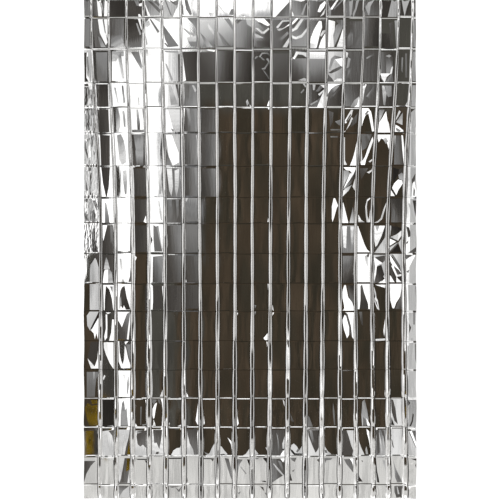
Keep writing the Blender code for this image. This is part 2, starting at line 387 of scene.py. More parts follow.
    (0.35, 0.4, (254, 32), (259, 32), (263, 37), (257, 35)),
    (0.85, (262, 33), (268.5, 28), (269.5, 29.5), (264, 34.5)),
    (0.8, 0.75, (254, 34.5), (258, 35), (264, 38.5), (256, 38)),
    (0.28, 0.32, (264, 36), (270.5, 31), (270.5, 40), (267, 39)),
    (0.33, 0.3, (254, 40.5), (270.5, 41.5), (270.5, 47), (254, 47)),
    (0.36, 0.34, (272.5, 19), (289.5, 47)),
    (1, 0.7, (289.5, 23.5), (289.5, 25), (279, 31), (276.5, 28.5), (283, 28)),
    (0.85, 0.8, (276, 27), (282, 20), (289.5, 19.8), (289.5, 21), (283, 21.5), (278, 28)),
    (0.52, 0.48, (278.5, 39), (287.5, 31), (289, 33), (281, 41)),
    (0.85, 0.8, (282.5, 46.8), (289.5, 37), (289.5, 42), (287, 46.8)),
    (0.5, 0.55, (291.5, 19), (307, 47)),
    (1, (291.5, 23.5), (293, 22), (296, 18.8), (298.5, 19), (294.5, 23.5), (291.5, 25.5)),
    (0.33, 0.36, (291.5, 27), (298.5, 19.5), (300, 20), (293, 29.5)),
    (0.95, 0.85, (291.5, 29.5), (294, 29), (301, 19.5), (303.5, 20), (297, 30), (291.5, 32.5)),
    (0.4, 0.44, (294, 34), (303, 22), (307, 20), (307, 29), (301, 35), (296, 36)),
    (0.92, 0.88, (291.5, 36), (296, 37.5), (301, 35.5), (307, 28.5), (307, 32), (302, 38), (296, 40),
     (291.5, 39)),
    (0.33, 0.28, (199, 52), (215, 81.5)),
    (0.32, 0.27, (218, 52), (233, 81.5)),
    (0.3, 0.26, (236, 52), (252, 81.5)),
    (0.26, 0.24, (254, 52), (270.5, 81.5)),
    (0.35, 0.28, (272.5, 53), (289.5, 81.5)),
    (0.5, 0.28, (292, 59), (307, 81.5)),
    (0.6, 0.5, (254.5, 59), (256.5, 56.5), (258.5, 57), (255.5, 59.5)),
    (0.55, 0.5, (259, 57), (262, 53), (268, 53), (270.5, 55.5), (269.5, 56.5), (267, 54.2), (262.5, 54.5),
     (260, 58)),
    (0.45, (260, 58), (261.5, 57.5), (265, 60.5), (263, 61)),
    (0.6, (266, 59.5), (268, 58.5), (270.8, 62), (270.5, 64)),
    (0.5, (261.5, 69), (264, 68.5), (269, 61.5), (270, 62.5), (265, 70), (262, 70)),
    (0.42, (263, 71), (264.2, 71), (270, 79), (269, 80)),
    (0.42, (274, 69), (279, 56.5), (280, 57), (275.5, 70)),
    (1, 0.85, (291.5, 58.5), (293.5, 58), (296, 52), (306.5, 53), (306.5, 58), (303, 55.5), (298, 54.8),
     (294.5, 60)),
    (0.75, 0.7, (298, 81), (304, 78.5), (306.5, 79.5), (306.5, 81.8)),
    (0.8, 0.75, (302.5, 84.2), (305, 84.2), (306.5, 87), (305.5, 88)),
    (0.75, 0.6, (246, 101), (247.5, 99), (249, 103), (247, 106)),
    (0.9, (249.5, 104), (252.3, 106), (252.3, 109), (251.5, 109)),
    (1, (267, 106.5), (269, 101), (270, 101), (270, 110), (268.5, 110)),
    (0.5, 0.45, (300.5, 93), (303.5, 89.5), (304.5, 90.5), (301.5, 94)),
    # top end, panels 13 to 18
    (0.38, 0.34, (309, 0), (326, 16.5)),
    (1, (317.5, 11.5), (320, 5), (325, 1), (327, 3), (324, 7), (320, 12)),
    (0.85, 0.8, (320, 16.5), (325, 8.5), (326.5, 8), (324, 14)),
    (0.28, 0.3, (328.5, 0), (344, 16.5)),
    (0.65, 0.45, (328, 5), (328, 16.5), (331, 16.5), (331, 11)),
    (1, 0.95, (330, 10), (336.5, 0), (338.5, 0), (332, 10.5)),
    (0.5, (333, 9.5), (342, 0), (344, 0), (334, 11)),
    (0.33, 0.36, (345.5, 0), (362.5, 17)),
    (0.65, 0.62, (349, 0), (353, 0), (351.5, 14), (349.5, 17)),
    (0.62, 0.6, (356, 1), (359, 0), (356.5, 9), (353.5, 17), (352.5, 14), (355, 8)),
    (0.33, 0.4, (364.5, 0), (379.5, 17)),
    (0.68, 0.66, (364.5, 8), (368, 3), (374, 0), (370.5, 7), (369, 17), (366.5, 12)),
    (0.22, 0.25, (381, 0), (397, 17)),
    (0.64, 0.68, (391.5, 0), (397, 0), (396.5, 17), (387.5, 17)),
    (0.24, 0.27, (399.5, 0), (413, 17)),
    (0.7, 0.72, (401.5, 0), (409.5, 0), (406.5, 9), (404.5, 17), (403, 10)),
    (0.36, (310, 20), (325.5, 48)),
    (1, (310, 47), (310.5, 38), (314, 29), (319, 20.5), (321.5, 21), (322, 27), (319.5, 35), (316.5, 47.5)),
    (0.78, 0.95, (310, 43), (310, 48), (316, 48), (316, 43)),
    (0.85, 0.8, (320, 35), (322.5, 30.5), (325.5, 29.5), (325.5, 31.5), (321, 36.5)),
    (1, (318.5, 48), (321, 40), (325, 33), (326, 34), (326, 48)),
    (0.35, 0.33, (322.5, 20), (326, 20), (326, 29), (322.5, 28)),
    (1, 0.9, (328, 20.5), (328, 47.5), (334, 47.5), (335, 22)),
    (0.5, 0.62, (333, 36), (336, 26), (340, 23), (343, 27), (336.5, 42), (334, 47.5)),
    (0.4, 0.42, (335, 20.5), (344, 20.5), (343.5, 28), (339, 25)),
    (1, 0.9, (343.5, 29), (340.5, 37), (336.5, 47.5), (343.5, 47.5)),
    (0.33, 0.36, (345.5, 21), (362, 48)),
    (0.5, 0.4, (346.5, 38), (350.5, 31), (353, 34), (352, 44), (348, 47.5), (346.5, 46)),
    (0.42, 0.36, (353, 24), (357, 21), (358, 38), (354, 42)),
    (0.43, (356, 45), (359, 36), (360.3, 37), (358, 46)),
    (0.33, 0.3, (389, 23), (393, 21), (393.5, 31), (390, 33)),
    (1, 0.85, (309.5, 51.5), (325, 58.5)),
    (0.55, 0.33, (309.5, 58.5), (325, 81.5)),
    (0.82, 0.7, (328, 52), (343, 82)),
    (0.5, 0.52, (328.5, 69), (331, 59), (334.5, 56), (341.5, 57.5), (340, 59.3), (334, 60), (330, 71)),
    (0.72, 0.74, (331, 70), (334, 60.5), (341, 66.5), (334, 71)),
    (1, (335, 59.7), (343.3, 58.5), (343.3, 67), (340.5, 66)),
    (0.33, 0.38, (328, 73.5), (333, 70), (341, 66.3), (342.5, 68), (338, 71), (331, 74)),
    (0.36, 0.38, (327.7, 75), (332, 79), (334, 82), (327.7, 82)),
    (0.96, 0.9, (333.5, 81.8), (337, 79), (343.3, 79), (343.3, 81.8)),
    (0.36, 0.34, (345.5, 51), (361.5, 82)),
    (0.9, 0.75, (345.5, 51.5), (348, 52.5), (347.5, 57), (345.5, 57.5)),
    (0.66, 0.55, (348, 57), (350.5, 58.5), (349, 67), (346.5, 68)),
    (0.5, 0.45, (348.5, 68), (350.5, 69), (348.5, 77), (347, 77)),
    (0.32, 0.34, (363.5, 51), (378.5, 82)),
    (0.5, 0.48, (366, 58.3), (373, 54.5), (373.5, 55.8), (366.5, 59.8)),
    (0.3, 0.33, (380.5, 52), (393.5, 82)),
    (0.35, 0.56, (386, 57), (393, 57), (392, 74), (386, 74)),
    (0.66, 0.6, (385.5, 56), (389, 54.5), (391.5, 55.8), (389, 57.5)),
    (1, 0.9, (380, 73.5), (390, 73.5), (386.5, 77), (384.5, 82.5), (382, 79)),
    (0.95, 0.9, (389.5, 74.5), (391.5, 67), (393, 66), (391.8, 73)),
    (0.46, 0.42, (386.5, 78), (392, 73.5), (393.5, 82), (385.5, 82.5)),
    (0.18, 0.2, (380, 77), (382, 80), (383.5, 83), (380, 83)),
    (0.5, 0.42, (401.5, 58), (403, 58), (402.5, 73), (401, 71)),
    (0.42, 0.4, (405, 54), (406.8, 54), (407, 78), (405.2, 78)),
    (0.25, 0.28, (309, 84), (325, 106)),
    (0.8, 0.75, (312.5, 84), (315.5, 84.5), (314.5, 89.5), (313, 90)),
    (0.45, 0.4, (315.5, 91), (320, 85), (324.5, 86), (318, 91.5)),
    (0.95, (320, 84.5), (325.5, 84.5), (325.5, 88)),
    (0.9, 0.85, (318, 94), (324, 89), (325.5, 90.5), (319.5, 95.5)),
    (0.38, 0.42, (309, 104.5), (316, 100.5), (322, 96), (317.5, 106.5), (309, 106.5)),
    (0.62, 0.6, (310, 103.8), (317, 99.8), (317.5, 101), (311, 105)),
    (0.97, 0.92, (317, 106.8), (320.5, 98), (325.5, 89.5), (325.5, 106.8)),
    (0.3, 0.28, (327.5, 84.5), (342, 106)),
    (0.62, 0.4, (331, 90), (335.5, 86.5), (339.5, 86), (333, 94), (328, 98)),
    (1, (326.5, 84.3), (342, 84.3), (335, 86.5), (331, 89.5), (328, 94), (327, 98)),
    (0.46, 0.42, (332, 96), (338.5, 88.5), (339.7, 89.5), (333, 97.5)),
    (0.33, 0.42, (344.5, 84.5), (359.5, 106)),
    (0.5, 0.75, (350, 107), (354, 100), (359.5, 96), (360, 107)),
    (1, (353, 107.3), (357, 104.5), (359.5, 97), (360.5, 107.3)),
    (0.36, 0.34, (362, 84.5), (377, 106)),
    (1, 0.8, (361.3, 84.3), (366.5, 85), (364.5, 90), (363.2, 100), (362, 105)),
    (0.2, (362, 85), (365, 84.6), (365.3, 86), (362, 86.3)),
    (0.46, 0.44, (366, 97), (374, 86.5), (375.2, 87.5), (368, 98)),
    (0.26, 0.28, (378.5, 85), (393, 106)),
    (0.85, 0.55, (381.8, 85.5), (384.2, 85.5), (386.3, 94), (385, 105.5), (383.3, 104.5)),
    (0.56, 0.5, (384.8, 85.5), (391.5, 85.5), (391.5, 96), (388, 97), (386, 93)),
    (0.72, 0.7, (405, 106.5), (409, 102), (411.5, 94), (411.5, 106.5)),
    # rows 4 to 6, panels 13 to 18
    (0.36, 0.3, (328.5, 111), (333.5, 113), (332.5, 123), (330, 128)),
    (0.46, 0.4, (330.5, 129.6), (340, 131)),
    (0.46, 0.4, (330.5, 136.6), (338, 138)),
    (0.5, 0.42, (335, 122), (341.5, 120), (341.5, 126), (338, 125)),
    (0.97, 0.9, (343.5, 122.8), (345, 119.5), (351, 109.3), (353, 109.3), (351.5, 115), (346, 122.8)),
    (0.33, (345.5, 121.3), (350.3, 113.3), (351.2, 114.5), (347, 121.3)),
    (0.9, 0.85, (346, 130), (349, 123), (351.5, 116.5), (352.8, 118), (349.5, 125), (344.5, 132),
     (343.3, 131.3)),
    (0.36, 0.3, (351.5, 120), (357.5, 112.5), (356.5, 122), (350.5, 127)),
    (1, (361.5, 108.8), (368.5, 109), (371, 112.5), (372.5, 120), (374.3, 131.5), (372, 132), (370, 121.5),
     (368.3, 114), (365, 116.5), (363, 122), (361, 127), (361, 120)),
    (0.5, 0.45, (364.5, 114.8), (367.5, 111), (369, 112), (366, 116)),
    (1, (377.7, 132.8), (379, 122), (382, 118), (386, 111), (387.3, 120), (388.7, 123), (390.3, 132.8)),
    (0.48, 0.8, (378.5, 109.5), (384.5, 109.5), (381, 118), (379, 121.5)),
    (0.85, 0.8, (393.3, 119), (399, 111), (400.7, 112.5), (395, 121)),
    (0.22, 0.24, (393.5, 123.5), (401, 112.8), (402.3, 113.5), (395.5, 124.7)),
    (0.6, 0.8, (396, 122.7), (402.7, 113.3), (402.3, 125.5)),
    (1, (393.7, 125.3), (398, 126.5), (403, 130.5), (403.7, 134), (394, 133.3)),
    (0.55, 0.5, (396, 128), (401, 131), (399, 132.2), (396, 131)),
    (1, (359, 141), (358, 155), (357.3, 166.3), (344.5, 166.8), (350, 165), (352.8, 158), (355, 150)),
    (0.9, 0.85, (342.8, 137), (344.8, 137), (344.8, 160), (347, 164.5), (343.7, 164.5)),
    (0.33, 0.38, (361, 134.5), (373, 134.5), (370, 140), (366, 148.5), (362, 151)),
    (0.46, 0.45, (366, 134.5), (371.5, 134.5), (369.5, 141.5)),
    (1, (372.5, 137), (373.7, 141), (369.3, 152), (366, 160), (364.5, 166), (361, 166), (360.3, 162),
     (363, 160.5), (365, 157), (368, 148), (370.7, 141)),
    (0.92, 0.9, (360, 142), (361.5, 150), (362.3, 162), (360.7, 162)),
    (0.85, 0.8, (368.5, 162), (372, 159.3), (372.7, 160.7), (370, 162.7)),
    (1, (376, 134.3), (390.3, 134.3), (390.7, 141), (391.5, 150), (391, 156.5), (389, 149), (387, 143),
     (384, 139.5), (381, 138), (378.5, 142), (376.3, 138)),
    (0.76, 0.6, (383, 138.7), (386, 137), (388, 141), (385.7, 143.5)),
    (0.33, 0.37, (394, 136), (401.5, 136), (403, 150), (404.3, 165.5), (394, 165.5)),
    (0.85, 0.8, (393.5, 136), (395.3, 136), (394.7, 147)),
    (1, (401.3, 135.5), (402.8, 136), (404.2, 150), (405.7, 164.5), (404, 164.5), (402.2, 150)),
    (1, (342.5, 167), (358.3, 166.8), (357.2, 169), (354, 172.3), (351.5, 172.3), (350, 170.3), (346, 169.7)),
    (0.6, 0.8, (342.7, 170), (348, 170.3), (350, 173), (345, 182), (342.8, 186.5)),
    (1, (350, 173), (354.3, 172.3), (350, 179), (344, 187.5), (341.8, 188.5)),
    (0.22, 0.42, (354.7, 172.5), (357.2, 169.5), (356, 175), (351, 183), (343, 189.7), (345.5, 185.5)),
    (0.62, 0.95, (352, 184), (348.5, 190), (342.7, 195.5), (342.7, 190), (346, 187.5)),
    (0.85, (352.5, 186), (356, 177.5), (357.3, 182), (355, 190)),
    (0.34, 0.28, (359.5, 168.5), (368, 168.5), (366, 172), (361, 180)),
    (0.9, 0.8, (366.7, 172.7), (371.5, 170), (374, 167.7), (373.2, 171.5), (369, 173.8)),
    (0.13, 0.15, (392.7, 168), (399, 170), (398, 175), (394, 182.5), (392.3, 180)),
    (0.25, (399, 170), (404.5, 168), (402, 173.3), (398.5, 174.7)),
    (0.5, 0.68, (398.2, 175.3), (402, 173), (404.7, 175), (403, 181), (399, 179.5)),
    (1, (392, 188), (394, 184), (398, 180), (402, 181), (404.3, 184), (400, 188), (398.5, 190), (396, 196),
     (393, 191)),
    (1, 0.95, (390, 190.5), (395, 197), (388.7, 197)),
    (0.2, (391, 189.3), (393, 190), (397, 197), (395.2, 196.5)),
    # rows 7 to 11, panels 14 to 18
    (1, (333.5, 198.7), (335, 198.7), (338.3, 206), (336.5, 209), (334, 218), (332.5, 222.5), (331.8, 219),
     (331.8, 207)),
    (1, (342, 201.5), (343.5, 203), (348.3, 222.7), (341.3, 223)),
    (0.5, 0.85, (353, 206), (354, 222.7), (349.3, 222.7)),
    (0.9, 0.85, (367, 200), (369.7, 198.2), (370.5, 199), (367.3, 202), (366.7, 207), (367.3, 216),
     (369, 221), (370, 222.8), (366.7, 222.8), (365.7, 216), (365.2, 207)),
    (0.95, 0.9, (371.3, 209), (369.3, 218), (368.7, 222.5), (370.7, 222.5)),
    (1, 0.6, (358.3, 215), (361, 220), (365.3, 223), (358.3, 223)),
    (0.9, 0.8, (386.3, 202), (387.8, 203.5), (384.7, 210), (382, 219), (378, 222.3), (374, 223.7),
     (373.7, 222.3), (377.5, 221), (380.5, 218), (383, 210)),
    (0.24, 0.34, (391, 199), (404, 223.5)),
    (0.36, 0.4, (392, 206), (393.5, 206), (399.5, 223), (392, 223)),
    (0.66, 0.5, (342, 225), (354.3, 252.5)),
    (1, 0.9, (341.7, 226), (346.7, 226), (346, 248), (343.5, 247)),
    (0.45, 0.52, (346.7, 226), (350.3, 226), (351, 250), (346, 250)),
    (0.9, 0.65, (350.3, 226), (353.7, 226), (353.2, 245), (351, 242)),
    (1, (357, 226), (358, 226.5), (359.5, 231), (362, 238), (364.5, 245), (367, 250), (371, 252.8),
     (357, 253)),
    (0.22, 0.26, (387, 226), (386, 233), (381, 242), (376, 249), (372.7, 250.3), (373, 247.5), (377, 245),
     (384, 226)),
    (1, 0.9, (374, 225.5), (385, 225.5), (381.3, 236), (377, 245), (375.2, 246.5), (374, 240)),
    (0.66, 0.75, (375, 225.5), (379.5, 225.5), (377, 231.5)),
    (0.72, 0.8, (388, 230), (388, 253), (371.7, 253), (376, 250), (381, 243), (385, 237)),
    (0.75, (389, 226), (391.3, 226), (390.3, 235), (389, 237)),
    (0.18, 0.22, (391, 226), (402, 228.3), (404.5, 230.5), (397, 234), (390.7, 236), (391.5, 232)),
    (0.74, 0.88, (390, 237.3), (396, 235), (404.3, 230.8), (402.2, 236), (398, 241), (394, 239.5)),
    (0.28, 0.3, (388.5, 238), (390.3, 237.5), (397.3, 240.7), (396, 242.3)),
    (1, (388.5, 239), (396, 242), (388.7, 246)),
    (0.33, 0.36, (388.7, 246.3), (396, 242.5), (397.3, 243.5), (388.7, 248.5)),
    (0.8, 0.75, (388.7, 248), (397, 243), (398.2, 243.7), (388.7, 252.7)),
    (0.35, (389, 251.5), (397.3, 243.2), (398.2, 244.2), (390, 252.9)),
    (0.13, 0.15, (397.5, 244.5), (401.3, 252.9), (390.7, 252.9)),
    (0.76, 0.72, (398.3, 243), (402, 239), (403, 252.7), (401.5, 252.7)),
    (0.75, 0.7, (402, 234), (404.3, 233), (404.3, 252.7), (403, 252.7)),
    (0.45, 0.25, (342.7, 255.5), (354.3, 283)),
    (0.62, 0.4, (342.7, 256), (344.7, 259), (345.2, 270), (342.8, 264)),
    (0.52, 0.33, (347, 255.5), (350.5, 255.5), (350.5, 270), (347.3, 275)),
    (1, (357.3, 253.7), (370.7, 283.3)),
    (0.75, 0.85, (364.5, 256), (367.5, 256), (368.3, 268), (365.5, 263)),
    (0.3, 0.33, (366.3, 256), (368, 254), (369.5, 255), (368.3, 258.3)),
    (0.76, (371.7, 253.7), (387, 283)),
    (0.3, 0.33, (374.7, 256.8), (385, 254.8), (387, 256), (385.3, 260), (382, 262.8)),
    (1, 0.97, (373.3, 257), (375, 257.8), (382.3, 262.6), (378, 264.3), (375.3, 266.5)),
    (0.3, 0.28, (372.7, 259), (374.3, 264), (375, 270), (373, 279), (372.3, 279)),
    (0.97, 0.95, (375, 266), (376.7, 265), (376.3, 272), (374, 279.5), (372.7, 281), (374.2, 272)),
    (0.22, 0.3, (376.7, 266), (381.3, 264.3), (384.2, 274), (381, 281), (377, 283), (373.7, 283),
     (375.7, 275)),
    (1, 0.95, (377.5, 283.2), (383, 279), (387, 275.5), (387, 283.2)),
    (0.22, 0.25, (382.3, 275.5), (384.7, 278), (381.3, 281.5)),
    (0.78, 0.76, (389.3, 254), (404.3, 254), (404.3, 273), (400, 268), (396, 261)),
    (0.38, 0.4, (391, 254.3), (393.2, 255.3), (400, 266), (403.3, 273.3), (401, 272.7), (396, 265)),
    (1, (389, 254.7), (391, 257), (396, 265), (401.3, 272.9), (398, 272.3), (392.5, 266), (390.3, 262)),
    (0.26, 0.3, (389, 261.5), (392, 267), (395, 275), (396.3, 282.3), (393, 281.3), (391, 277), (389.3, 270)),
    (0.3, 0.34, (393.5, 266), (399, 270.7), (403.3, 274), (397.3, 275.3)),
    (0.97, 0.95, (391, 266), (393, 266), (397.2, 275.2), (404.3, 274.3), (404.3, 276.3), (396.3, 277.3),
     (394.7, 274)),
    (0.2, 0.22, (396.8, 277.5), (404.3, 276.8), (404.3, 283), (401, 282.3), (398, 279.3)),
    (1, (388.7, 275.5), (391, 277), (394, 282), (396.3, 283.2), (388.7, 283.2)),
    (1, (396.2, 277), (398, 279.3), (402, 282.7), (396.2, 283.2)),
    (0.24, 0.46, (347, 285), (353.5, 285), (353.7, 303), (350, 300)),
    (1, (344.3, 284.8), (345.7, 284.8), (348.2, 297), (352, 302), (353.7, 306), (353.7, 310.3),
     (344.3, 310.3), (344, 305), (342.3, 298), (341.8, 292), (342.8, 289)),
    (0.92, 0.9, (340.5, 310.7), (344, 308.3), (345, 311)),
    (1, (357.3, 284.2), (369.7, 309.3)),
    (0.36, 0.26, (360.3, 286.3), (362, 285), (364, 293), (368, 304), (368.3, 309.3), (359.3, 309.3),
     (360.3, 300)),
    (1, 0.95, (372, 283.8), (386.3, 283.8), (386.3, 287.5), (378, 285.3)),
    (0.85, 0.8, (371.7, 285), (373, 286), (376, 293), (376.3, 297), (374.3, 296), (372, 290)),
    (0.1, (371.7, 293), (374, 292.3), (375, 296), (371.7, 297.7)),
    (0.95, 0.9, (371.7, 298), (375.7, 295.7), (377.7, 300), (379.3, 309.7), (377, 308.3), (373.3, 301)),
    (0.36, 0.42, (374.8, 299), (376.7, 301.5), (378, 307), (375.7, 303)),
    (1, (388.8, 284), (404.3, 284), (403.2, 289), (400, 297), (396, 303), (394, 308.5), (392.5, 308.5),
     (390.3, 301), (389, 294)),
    (0.45, 0.3, (403, 290), (403.5, 309), (395.3, 309), (397, 303.5), (400.5, 297.5)),
    (1, (344.3, 311.3), (353.8, 311.3), (353.8, 338.5), (352, 336), (350, 325), (346.3, 313)),
    (0.34, 0.38, (345.7, 312), (347.7, 314), (351, 326), (352.3, 338), (349, 331), (348, 322)),
    (1, (340.8, 319.5), (344.5, 314.5), (346, 315.5), (349, 327), (349, 334), (347, 337.5), (344, 329),
     (342.3, 322)),
    (0.18, 0.2, (340.5, 312), (344.3, 313), (340.8, 318.3)),
    (0.38, 0.28, (359, 312), (362, 312), (363, 326), (361, 324)),
    (0.97, 0.95, (372.7, 312.5), (374.5, 339)),
    (0.95, 0.9, (385.7, 318), (386.3, 330), (384.2, 336), (383.2, 330)),
    (0.85, 0.8, (375.5, 338.3), (386, 337.7), (386, 339.7), (375.5, 340.3)),
    # the last panel stands up towards the edge
    (0.68, 0.72, (405.5, 112), (417, 108), (417, 400), (406.5, 396)),
    (0.66, 0.68, (412, 118), (413.2, 118), (412.5, 170), (411, 172)),
    (0.68, 0.7, (408.5, 124), (409.8, 124), (409.5, 166), (408.2, 166)),
    (0.3, (411.3, 179.5), (415, 173), (414.7, 179), (412, 186)),
    (1, (412.3, 183), (414, 181), (417, 190), (417, 196.5), (411.3, 196.5)),
    (0.32, 0.36, (413.3, 186), (414.6, 190), (414.2, 196), (412.8, 195)),
    (0.24, 0.26, (412.3, 200), (417, 200), (416.5, 217), (414.3, 212)),
    (0.62, 0.66, (408, 203), (409.3, 203), (414.3, 220), (413, 220)),
    (0.24, 0.28, (406, 226), (408.7, 227), (410.2, 232), (410.2, 236), (408, 237), (407, 231)),
    (0.45, (406, 242), (408.3, 240), (408, 242.5), (406.3, 244)),
    (0.36, 0.32, (405, 254), (417, 246.5), (417, 251), (410, 256), (405, 259)),
    (1, (405.3, 259.3), (412, 255.5), (415.5, 253.7), (409.3, 266), (405.3, 271.5)),
    (0.4, 0.42, (405.7, 271), (409.3, 269), (408, 272.5)),
    (0.62, 0.66, (408, 284), (409.3, 284), (410, 318), (408.7, 318)),
    (0.4, 0.42, (415, 286), (417, 285), (417, 300), (415.5, 296)),
    (0.36, 0.4, (413, 310), (414.3, 324)),
    (0.3, 0.32, (408.7, 322.5), (411, 327), (409, 332.5)),
    (0.6, 0.64, (411, 338), (412.5, 338), (411.7, 366), (410, 366)),
    (0.4, 0.44, (414.3, 344), (416.5, 342), (416, 362), (414.7, 358)),
    (0.66, 0.7, (407.5, 345), (409, 345), (410, 392), (408.5, 392)),
    # rows 4 to 6, panels 0 to 4
    (0.27, 0.26, (96.5, 109), (110, 109), (110, 132), (97.5, 132)),
    (0.92, 0.9, (95, 109), (97, 109), (98.7, 131.5), (97.3, 132)),
    (0.97, (108.5, 109), (110.7, 109), (110.7, 131.5), (109.5, 131.5)),
    (0.5, 0.75, (116, 110), (116.3, 130), (118.7, 132), (120.3, 127), (120.3, 118), (118.3, 110)),
    (0.75, 0.58, (122.3, 112), (124, 127), (125.7, 128), (125.7, 120), (124.3, 111)),
    (1, (131, 109), (146, 130)),
    (0.75, 0.33, (136.3, 109), (138.3, 109), (140.3, 124), (140, 131.5), (137.7, 131.5), (137, 122)),
    (0.5, 0.45, (132, 129.5), (146, 132.5)),
    (0.7, 0.72, (142, 108.5), (145.7, 108.5), (145.7, 119)),
    (0.26, (99, 135), (110, 135), (110, 165.5), (100, 165.5)),
    (0.97, 0.95, (97.3, 134.5), (100, 135), (100.7, 150), (101.2, 165.5), (99.3, 165.5), (98, 145)),
    (0.58, 0.82, (117, 135.5), (119.3, 160), (122, 165.5), (126.3, 163), (126, 152), (124, 141),
     (121, 134.5)),
    (0.28, 0.3, (131.3, 134), (146, 165.5)),
    (0.45, 0.64, (133.5, 134), (144, 134), (143.5, 150), (136, 150)),
    (0.64, 0.36, (135.5, 150), (143.7, 150), (143, 165.5), (136.3, 165.5)),
    (0.25, (101, 167), (110, 167), (109.7, 180), (107, 196), (106, 196), (103, 183)),
    (1, (98.7, 167), (101.2, 167), (103, 183), (106, 196.5), (100.3, 196.7), (100, 180)),
    (1, (109.9, 170), (111.3, 168), (111.7, 196.7), (107, 196.7), (109, 186)),
    (0.82, 0.6, (123, 171), (123, 181), (125, 195), (126.7, 194), (127.3, 182), (126.3, 171)),
    (0.9, 0.68, (158.3, 171), (158.7, 183), (159.3, 195), (161.2, 194), (161.8, 188), (159.7, 171)),
    # rows 7 to 9, panels 0 to 4
    (1, (102, 198.7), (113.3, 222.7)),
    (0.7, 0.44, (105, 202), (106.5, 203), (109, 216), (109.7, 222.7), (105, 222.7)),
    (0.32, 0.4, (92, 212), (94, 210), (96, 215), (95.5, 222), (92, 222.5)),
    (0.4, 0.5, (93, 201), (96, 201), (98, 207), (97, 212), (94.5, 205)),
    (1, (143.7, 221.3), (146, 215), (147, 222.8)),
    (0.92, 0.74, (158, 201), (159.2, 212), (160.7, 220), (162.3, 221), (161.7, 213), (159.7, 201)),
    (1, (90, 223.7), (99.7, 223.7), (100, 232), (100, 252.5), (92, 252.5), (90.5, 240)),
    (0.42, 0.28, (92, 233), (93.5, 228.5), (95.3, 231), (95.7, 240), (97, 246), (98.7, 252.5), (93, 252.5),
     (92.3, 242)),
    (0.3, 0.27, (102, 225), (113.3, 253)),
    (1, (102.7, 225), (107.3, 225), (105.5, 232), (103.5, 240.5), (102.3, 237)),
    (0.5, 0.4, (110.3, 226), (113, 226), (113, 244), (111, 241)),
    (1, (150, 225), (163.7, 252.5)),
    (0.42, 0.4, (153.3, 225.5), (156, 227), (158.5, 233), (161, 241), (162.5, 252), (154.5, 252),
     (153.5, 240)),
    (0.78, 0.6, (158.5, 226), (163, 250), (162, 250), (158.7, 236), (156, 227)),
    (0.22, 0.25, (149.5, 232), (151, 236), (152.7, 240.5), (149.9, 245)),
    (0.76, 0.75, (95, 257.7), (97, 261), (99.3, 268), (101, 283.5), (90, 283.5), (90, 270), (91, 263)),
    (0.25, (90.3, 263.5), (95, 256), (97.3, 255.7), (95, 258.7), (91, 265)),
    (0.3, (95.7, 256.7), (98, 257.3), (100.3, 267), (100.9, 276), (99, 268)),
    (0.28, 0.3, (102, 254.5), (113.5, 283)),
    (0.55, 0.8, (106.3, 256.5), (108, 260), (110, 268.5), (107, 270.5), (104, 268.5), (105, 262)),
    (1, (104.5, 270), (108.2, 269.3), (108.2, 283.2), (102.8, 283.2), (103.5, 276)),
    (0.6, 0.78, (108.3, 267.5), (112, 272), (113.3, 283.2), (108.3, 283.2)),
    (1, (118, 254.5), (131, 283)),
    (0.66, 0.9, (119.7, 259), (121.5, 259.5), (122.7, 270), (121, 271)),
    (0.36, 0.4, (131.2, 268), (131.2, 283), (128.3, 283), (130, 277)),
    (0.7, 0.8, (123, 279), (125, 282.7), (121.5, 282.9)),
    (1, (133.3, 255.5), (136.8, 257), (135, 260.5), (133.8, 262)),
    (1, (150, 255), (163.7, 283)),
    (0.52, 0.38, (153, 257), (162.7, 256), (162.7, 282.5), (152.5, 282.5)),
    (0.55, 0.42, (157, 257.5), (159.5, 257.5), (159.7, 272), (157.5, 268)),
    # rows 10 to 13, panels 0 to 4
    (0.77, 0.78, (90, 284.5), (102, 284.5), (102.5, 311), (90, 311)),
    (1, (103.3, 284.5), (113.7, 284.5), (113.9, 309.7), (103.9, 309.7)),
    (0.22, 0.26, (106, 285.5), (109.5, 289), (112, 298), (113.5, 309.7), (104.7, 309.7), (105, 298)),
    (0.5, 0.6, (110, 286), (113, 286), (112.7, 293)),
    (1, (118, 284.5), (131.3, 310)),
    (0.3, 0.24, (122.3, 287.5), (124.7, 286.3), (127, 298), (129.5, 306), (130.7, 309.7), (126, 309.7),
     (124, 305.5), (123, 309), (121, 306), (119.5, 309.7), (119.3, 300), (120.5, 291)),
    (0.62, 0.6, (119.3, 300), (121, 296.5), (121.7, 305), (119.7, 308)),
    (1, (150.5, 284.5), (152.7, 286), (153.2, 298), (152.5, 310), (151.3, 310)),
    (0.95, (162.3, 286.5), (163.8, 286), (163.8, 297), (162.7, 295)),
    (0.76, 0.74, (90, 311.7), (102, 311.7), (97, 316), (93, 324), (90.3, 331), (87.5, 326), (87, 316)),
    (1, (97.5, 318), (99.5, 318.5), (99.5, 333), (98, 339.5), (96.5, 333), (95, 339.5), (94, 334),
     (90.8, 330.3), (94, 325)),
    (0.16, 0.18, (101, 313), (102.3, 315), (98, 319.3), (92, 329.5), (90, 330.3), (94, 322), (97.5, 316)),
    (0.97, (105.7, 314), (107.3, 314), (107.5, 325), (107.2, 337), (105, 340), (104.3, 336), (106, 328)),
    (1, (112.3, 319), (113.8, 319), (113.8, 340.3), (109, 340.3), (111.3, 332)),
    (0.95, (105, 311.5), (112, 311.5), (108, 313.7)),
    (0.48, 0.32, (118.3, 316), (131, 312), (130, 320), (128, 330), (127.7, 340), (118.3, 340)),
    (1, (117.5, 311.5), (131.3, 311.5), (127, 314), (124.7, 320), (122, 327.5), (120, 323.5), (117.5, 321)),
    (0.97, (130.3, 314), (131.7, 314), (130.2, 325), (129.2, 335), (128.7, 340), (127, 340), (128.3, 328)),
    (0.24, (91, 342), (98.7, 342), (98.7, 352), (96, 362), (94, 366.3), (90, 361), (88, 357), (89.5, 350)),
